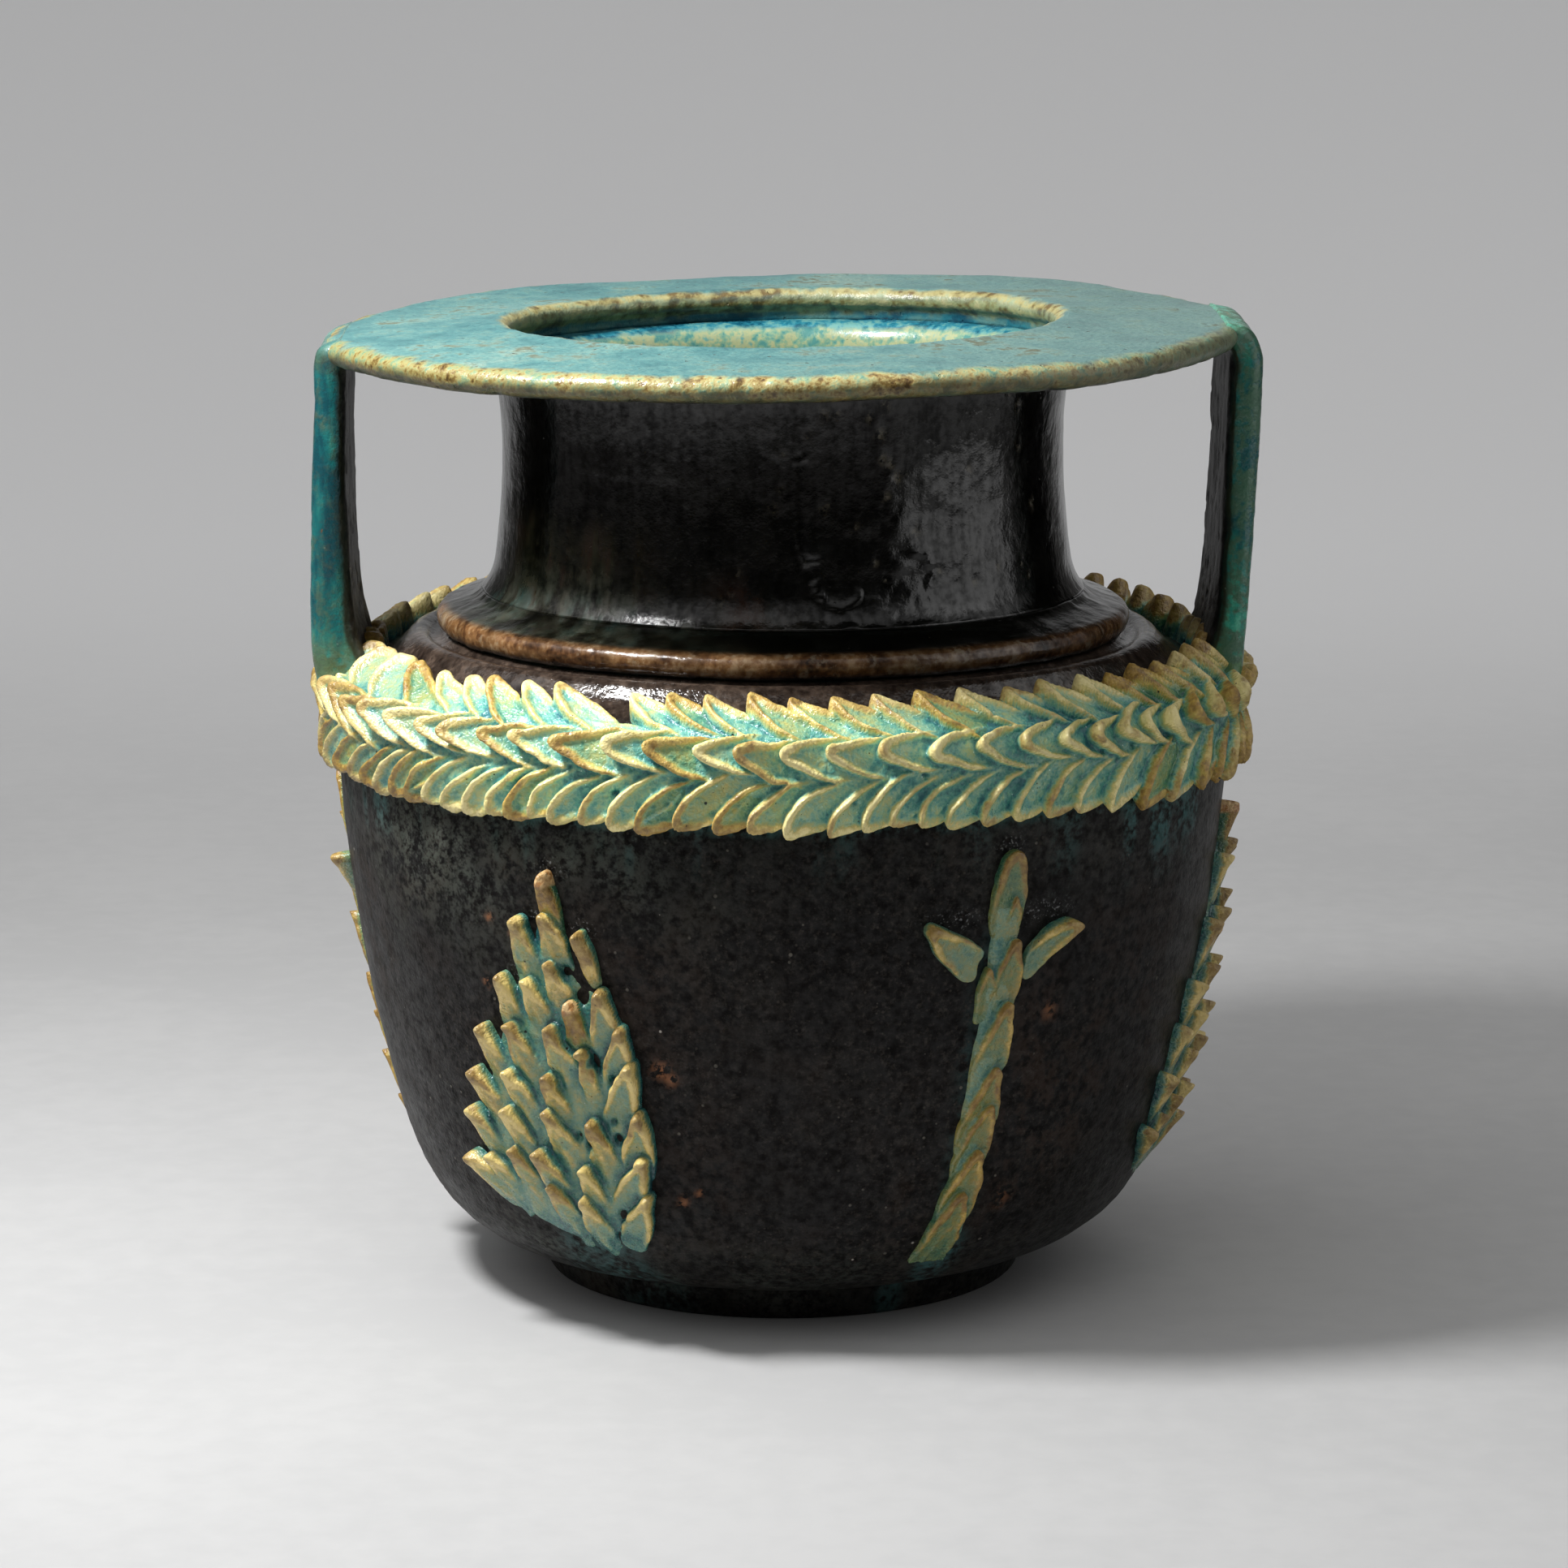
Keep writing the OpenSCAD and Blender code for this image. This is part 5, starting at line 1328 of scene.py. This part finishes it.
def leaf_glaze():
    g = Glaze("leaf_glaze", 0.25)
    n_big = g.noise(16, 3, seed=41)
    n_mid = g.noise(3.6, 4, seed=42)
    n_fine = g.noise(0.9, 3, seed=43)
    n_dust = g.noise(0.35, 2, seed=44)
    ridge = g.attr("ridge")
    tip, odd = g.attr("tip"), g.attr("odd")
    sp = g.nodes.new("ShaderNodeSeparateXYZ")
    g.links.new(g.pos, sp.inputs[0])
    pale = g.step(sp.outputs["Z"], 0.1005, 0.1045)
    # thin glaze on the edges shows cream, pooled glaze in the hollows is turquoise, and the deepest hollows are
    # darkened as painted shade
    v = g.add(g.math("MULTIPLY_ADD", ridge, -0.36, 0.47), g.mul(g.add(n_mid, -0.5), 0.42), g.mul(g.add(n_fine, -0.5), 0.34), g.mul(g.add(n_big, -0.5), 0.30),
              g.mul(g.add(n_dust, -0.5), 0.22), g.mul(tip, -0.05), g.mul(pale, g.step(sp.outputs["Z"], 0.1100, 0.1050, 0.0, 0.12)))
    base = g.ramp(v, [(0.06, (0.62, 0.50, 0.22)), (0.18, (0.47, 0.37, 0.13)), (0.30, (0.35, 0.33, 0.125)), (0.43, (0.26, 0.32, 0.165)), (0.56, (0.185, 0.310, 0.205)),
                      (0.70, (0.070, 0.220, 0.180)), (0.88, (0.012, 0.090, 0.100))])
    # on the leaves on the bowl the hollows are darkened as painted shade and the ridges lightened as a painted
    # highlight
    on_bowl = g.step(sp.outputs["Z"], 0.1045, 0.1005)
    base = g.mix(g.mul(g.step(ridge, 0.0, -0.55, 0.0, 0.8), on_bowl), base, g.mix(1.0, base, (0.34, 0.60, 0.64), mode="MULTIPLY"))
    base = g.mix(g.mul(g.step(ridge, 0.15, 0.75), on_bowl), base, g.mix(1.0, base, (1.30, 1.24, 1.02), mode="MULTIPLY"))
    # ochre where the glaze is thin and worn
    och = g.mul(g.step(g.add(odd, g.mul(g.add(n_mid, -0.5), 1.6), g.mul(ridge, 0.5), g.mul(tip, 0.35)), 0.95, 1.45), g.step(ridge, -0.1, 0.5))
    base = g.mix(g.mul(och, 0.85), base, g.ramp(g.add(g.mul(n_fine, 0.7), g.mul(n_mid, 0.3)), [(0.30, (0.13, 0.060, 0.015)), (0.50, (0.31, 0.185, 0.050)), (0.72, (0.48, 0.35, 0.12))]))
    olive = g.step(odd, 0.45, 0.95, 0.0, 0.85)
    base = g.mix(olive, base, g.mix(1.0, base, (0.80, 0.68, 0.36), mode="MULTIPLY"))
    brk = g.mul(g.step(odd, 1.02, 1.12), g.step(tip, 0.55, 0.85))
    base = g.mix(brk, base, g.ramp(n_fine, [(0.38, (0.42, 0.20, 0.06)), (0.6, (0.72, 0.48, 0.22))]))
    dots = g.specks(0.95, 0.16, 0.17)
    base = g.mix(g.mul(dots, g.step(g.noise(7, 3, seed=46), 0.42, 0.62, 0.15, 0.95)), base, (0.060, 0.045, 0.022))
    pits = g.specks(2.6, 0.10, 0.11)
    base = g.mix(pits, base, (0.006, 0.010, 0.010))
    salt = g.mul(g.specks(0.8, 0.10, 0.20), g.step(ridge, 0.2, -0.3))
    base = g.mix(g.mul(salt, 0.55), base, (0.62, 0.72, 0.66))
    # the garland is made paler than the leaves on the bowl, partly a paler glaze and partly painted light, with less
    # lift at the far left where the key lamp lights it
    base = g.mix(pale, base, g.mix(g.step(sp.outputs["X"], -0.050, -0.080), g.mix(1.0, base, (1.66, 1.78, 1.86), mode="MULTIPLY"), g.mix(1.0, base, (1.15, 1.22, 1.30), mode="MULTIPLY")))
    g.colour(base)
    r = g.add(0.12, g.mul(n_mid, 0.12), g.mul(n_fine, 0.16), g.mul(och, 0.12))
    g.rough(r)
    g.shader.inputs["Specular IOR Level"].default_value = 0.75
    h = g.add(g.mul(n_mid, 0.35), g.mul(n_fine, 0.45), g.mul(n_dust, 0.50), g.mul(pits, -1.5), g.mul(dots, -0.25))
    g.normal(g.bump(h, 0.00034))
    return g.m


bowl_mat, neck_mat, rim_mat, handle_mat, leaf_mat = dark_glaze(), neck_glaze(), rim_glaze(), handle_glaze(), leaf_glaze()
FINISH = {"bowl": (bowl_mat, "dark_glaze_low"), "foot_ring": (bowl_mat, "dark_glaze_low"), "shoulder": (bowl_mat, "dark_glaze_high"),
          "collar_ring": (neck_mat, "dark_glaze_high"), "neck": (neck_mat, "dark_glaze_high"), "rim_plate": (rim_mat, "turquoise_glaze"),
          "handle_left": (handle_mat, "turquoise_glaze"), "handle_right": (handle_mat, "turquoise_glaze")}
for name, ob in pieces.items():
    mat, slot = FINISH.get(name, (leaf_mat, "leaf_glaze"))
    ob.data.materials.append(mat)
    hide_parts(name)
    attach(ob, "root")


# ---------------------------------------------------------------- floor and light
fl = bpy.data.meshes.new("floor")
sweep = [(-3.0, 0.0), (-1.0, 0.0), (0.9, 0.0)]
for k in range(1, 25):
    a = math.pi / 2 * k / 24
    sweep.append((0.9 + 1.2 * math.sin(a), 1.2 - 1.2 * math.cos(a)))
sweep.append((2.1, 3.2))
m = len(sweep)
fl.from_pydata([(x, y, z) for x in (-4.0, 4.0) for y, z in sweep], [], [(k, m + k, m + k + 1, k + 1) for k in range(m - 1)])
for p in fl.polygons:
    p.use_smooth = True
floor = bpy.data.objects.new("floor", fl)
scene.collection.objects.link(floor)

g = Glaze("floor_paper", 0.85)
g.shader.inputs["Specular IOR Level"].default_value = 0.25
sep = g.nodes.new("ShaderNodeSeparateXYZ")
g.links.new(g.pos, sep.inputs[0])
# the table beyond the sheet of paper is darker
far = g.math("MAXIMUM", g.step(sep.outputs["Y"], -0.40, -0.72), g.step(g.math("ABSOLUTE", sep.outputs["X"]), 0.50, 0.85))
fibre = g.add(g.mul(g.noise(5, 4, seed=51), 0.5), g.mul(g.noise(45, 2, seed=52), 0.5))
paper = g.ramp(fibre, [(0.35, (0.465, 0.465, 0.465)), (0.65, (0.492, 0.491, 0.490))])
# the paper is painted lighter towards the back: painted light on the backdrop
paper = g.mix(g.step(sep.outputs["Y"], 0.25, 1.0), paper, (0.86, 0.86, 0.865))
g.colour(g.mix(far, paper, (0.16, 0.155, 0.15)))
fl.materials.append(g.m)


def area(name, loc, target, size, power, size_y=None, colour=(1, 1, 1)):
    d = bpy.data.lights.new(name, "AREA")
    d.shape = "RECTANGLE" if size_y else "DISK"
    d.size = size
    if size_y:
        d.size_y = size_y
    d.energy = power
    d.color = colour
    o = bpy.data.objects.new(name, d)
    scene.collection.objects.link(o)
    o.location = loc
    o.rotation_euler = (Vector(target) - Vector(loc)).to_track_quat("-Z", "Y").to_euler()
    return o


def turned(x, y, z):
    c, s = math.cos(TURN), math.sin(TURN)
    return (x * c - y * s, x * s + y * c, z)


KEY, FAR, SIDE, SKY = 2.65, 0.9, 2.0, 0.82
area("key", turned(-0.215, -0.122, 0.43), (0, 0, 0.06), 0.09, KEY)
area("far_key", turned(-0.6, 0.35, 2.6), (0, 0, 0.09), 0.75, FAR)
side = area("side", turned(0.86, -0.27, 0.42), turned(0.0, -0.12, 0.42), 0.8, SIDE, 0.8)
side.visible_diffuse = False
world = bpy.data.worlds.new("world")
world.use_nodes = True
scene.world = world
wn, wl = world.node_tree.nodes, world.node_tree.links
tc = wn.new("ShaderNodeTexCoord")
sx = wn.new("ShaderNodeSeparateXYZ")
mr = wn.new("ShaderNodeMapRange")
mr.interpolation_type = "SMOOTHSTEP"
mr.inputs["From Min"].default_value = 0.12
mr.inputs["From Max"].default_value = 0.75
mr.inputs["To Min"].default_value = 0.04
mr.inputs["To Max"].default_value = SKY
wl.new(tc.outputs["Generated"], sx.inputs[0])
wl.new(sx.outputs["Z"], mr.inputs["Value"])
# the room is brighter on the left than on the right
lean = wn.new("ShaderNodeMath")
lean.operation = "MULTIPLY_ADD"
lean.inputs[1].default_value = -0.40
wl.new(sx.outputs["X"], lean.inputs[0])
# and brighter behind the jar than in front of it
deep = wn.new("ShaderNodeMath")
deep.operation = "MULTIPLY_ADD"
deep.inputs[1].default_value = 0.35
deep.inputs[2].default_value = 1.0
wl.new(sx.outputs["Y"], deep.inputs[0])
wl.new(deep.outputs[0], lean.inputs[2])
both = wn.new("ShaderNodeMath")
both.operation = "MULTIPLY"
wl.new(mr.outputs[0], both.inputs[0])
wl.new(lean.outputs[0], both.inputs[1])
wl.new(both.outputs[0], wn["Background"].inputs["Strength"])
wn["Background"].inputs["Color"].default_value = (1.0, 1.0, 1.0, 1)
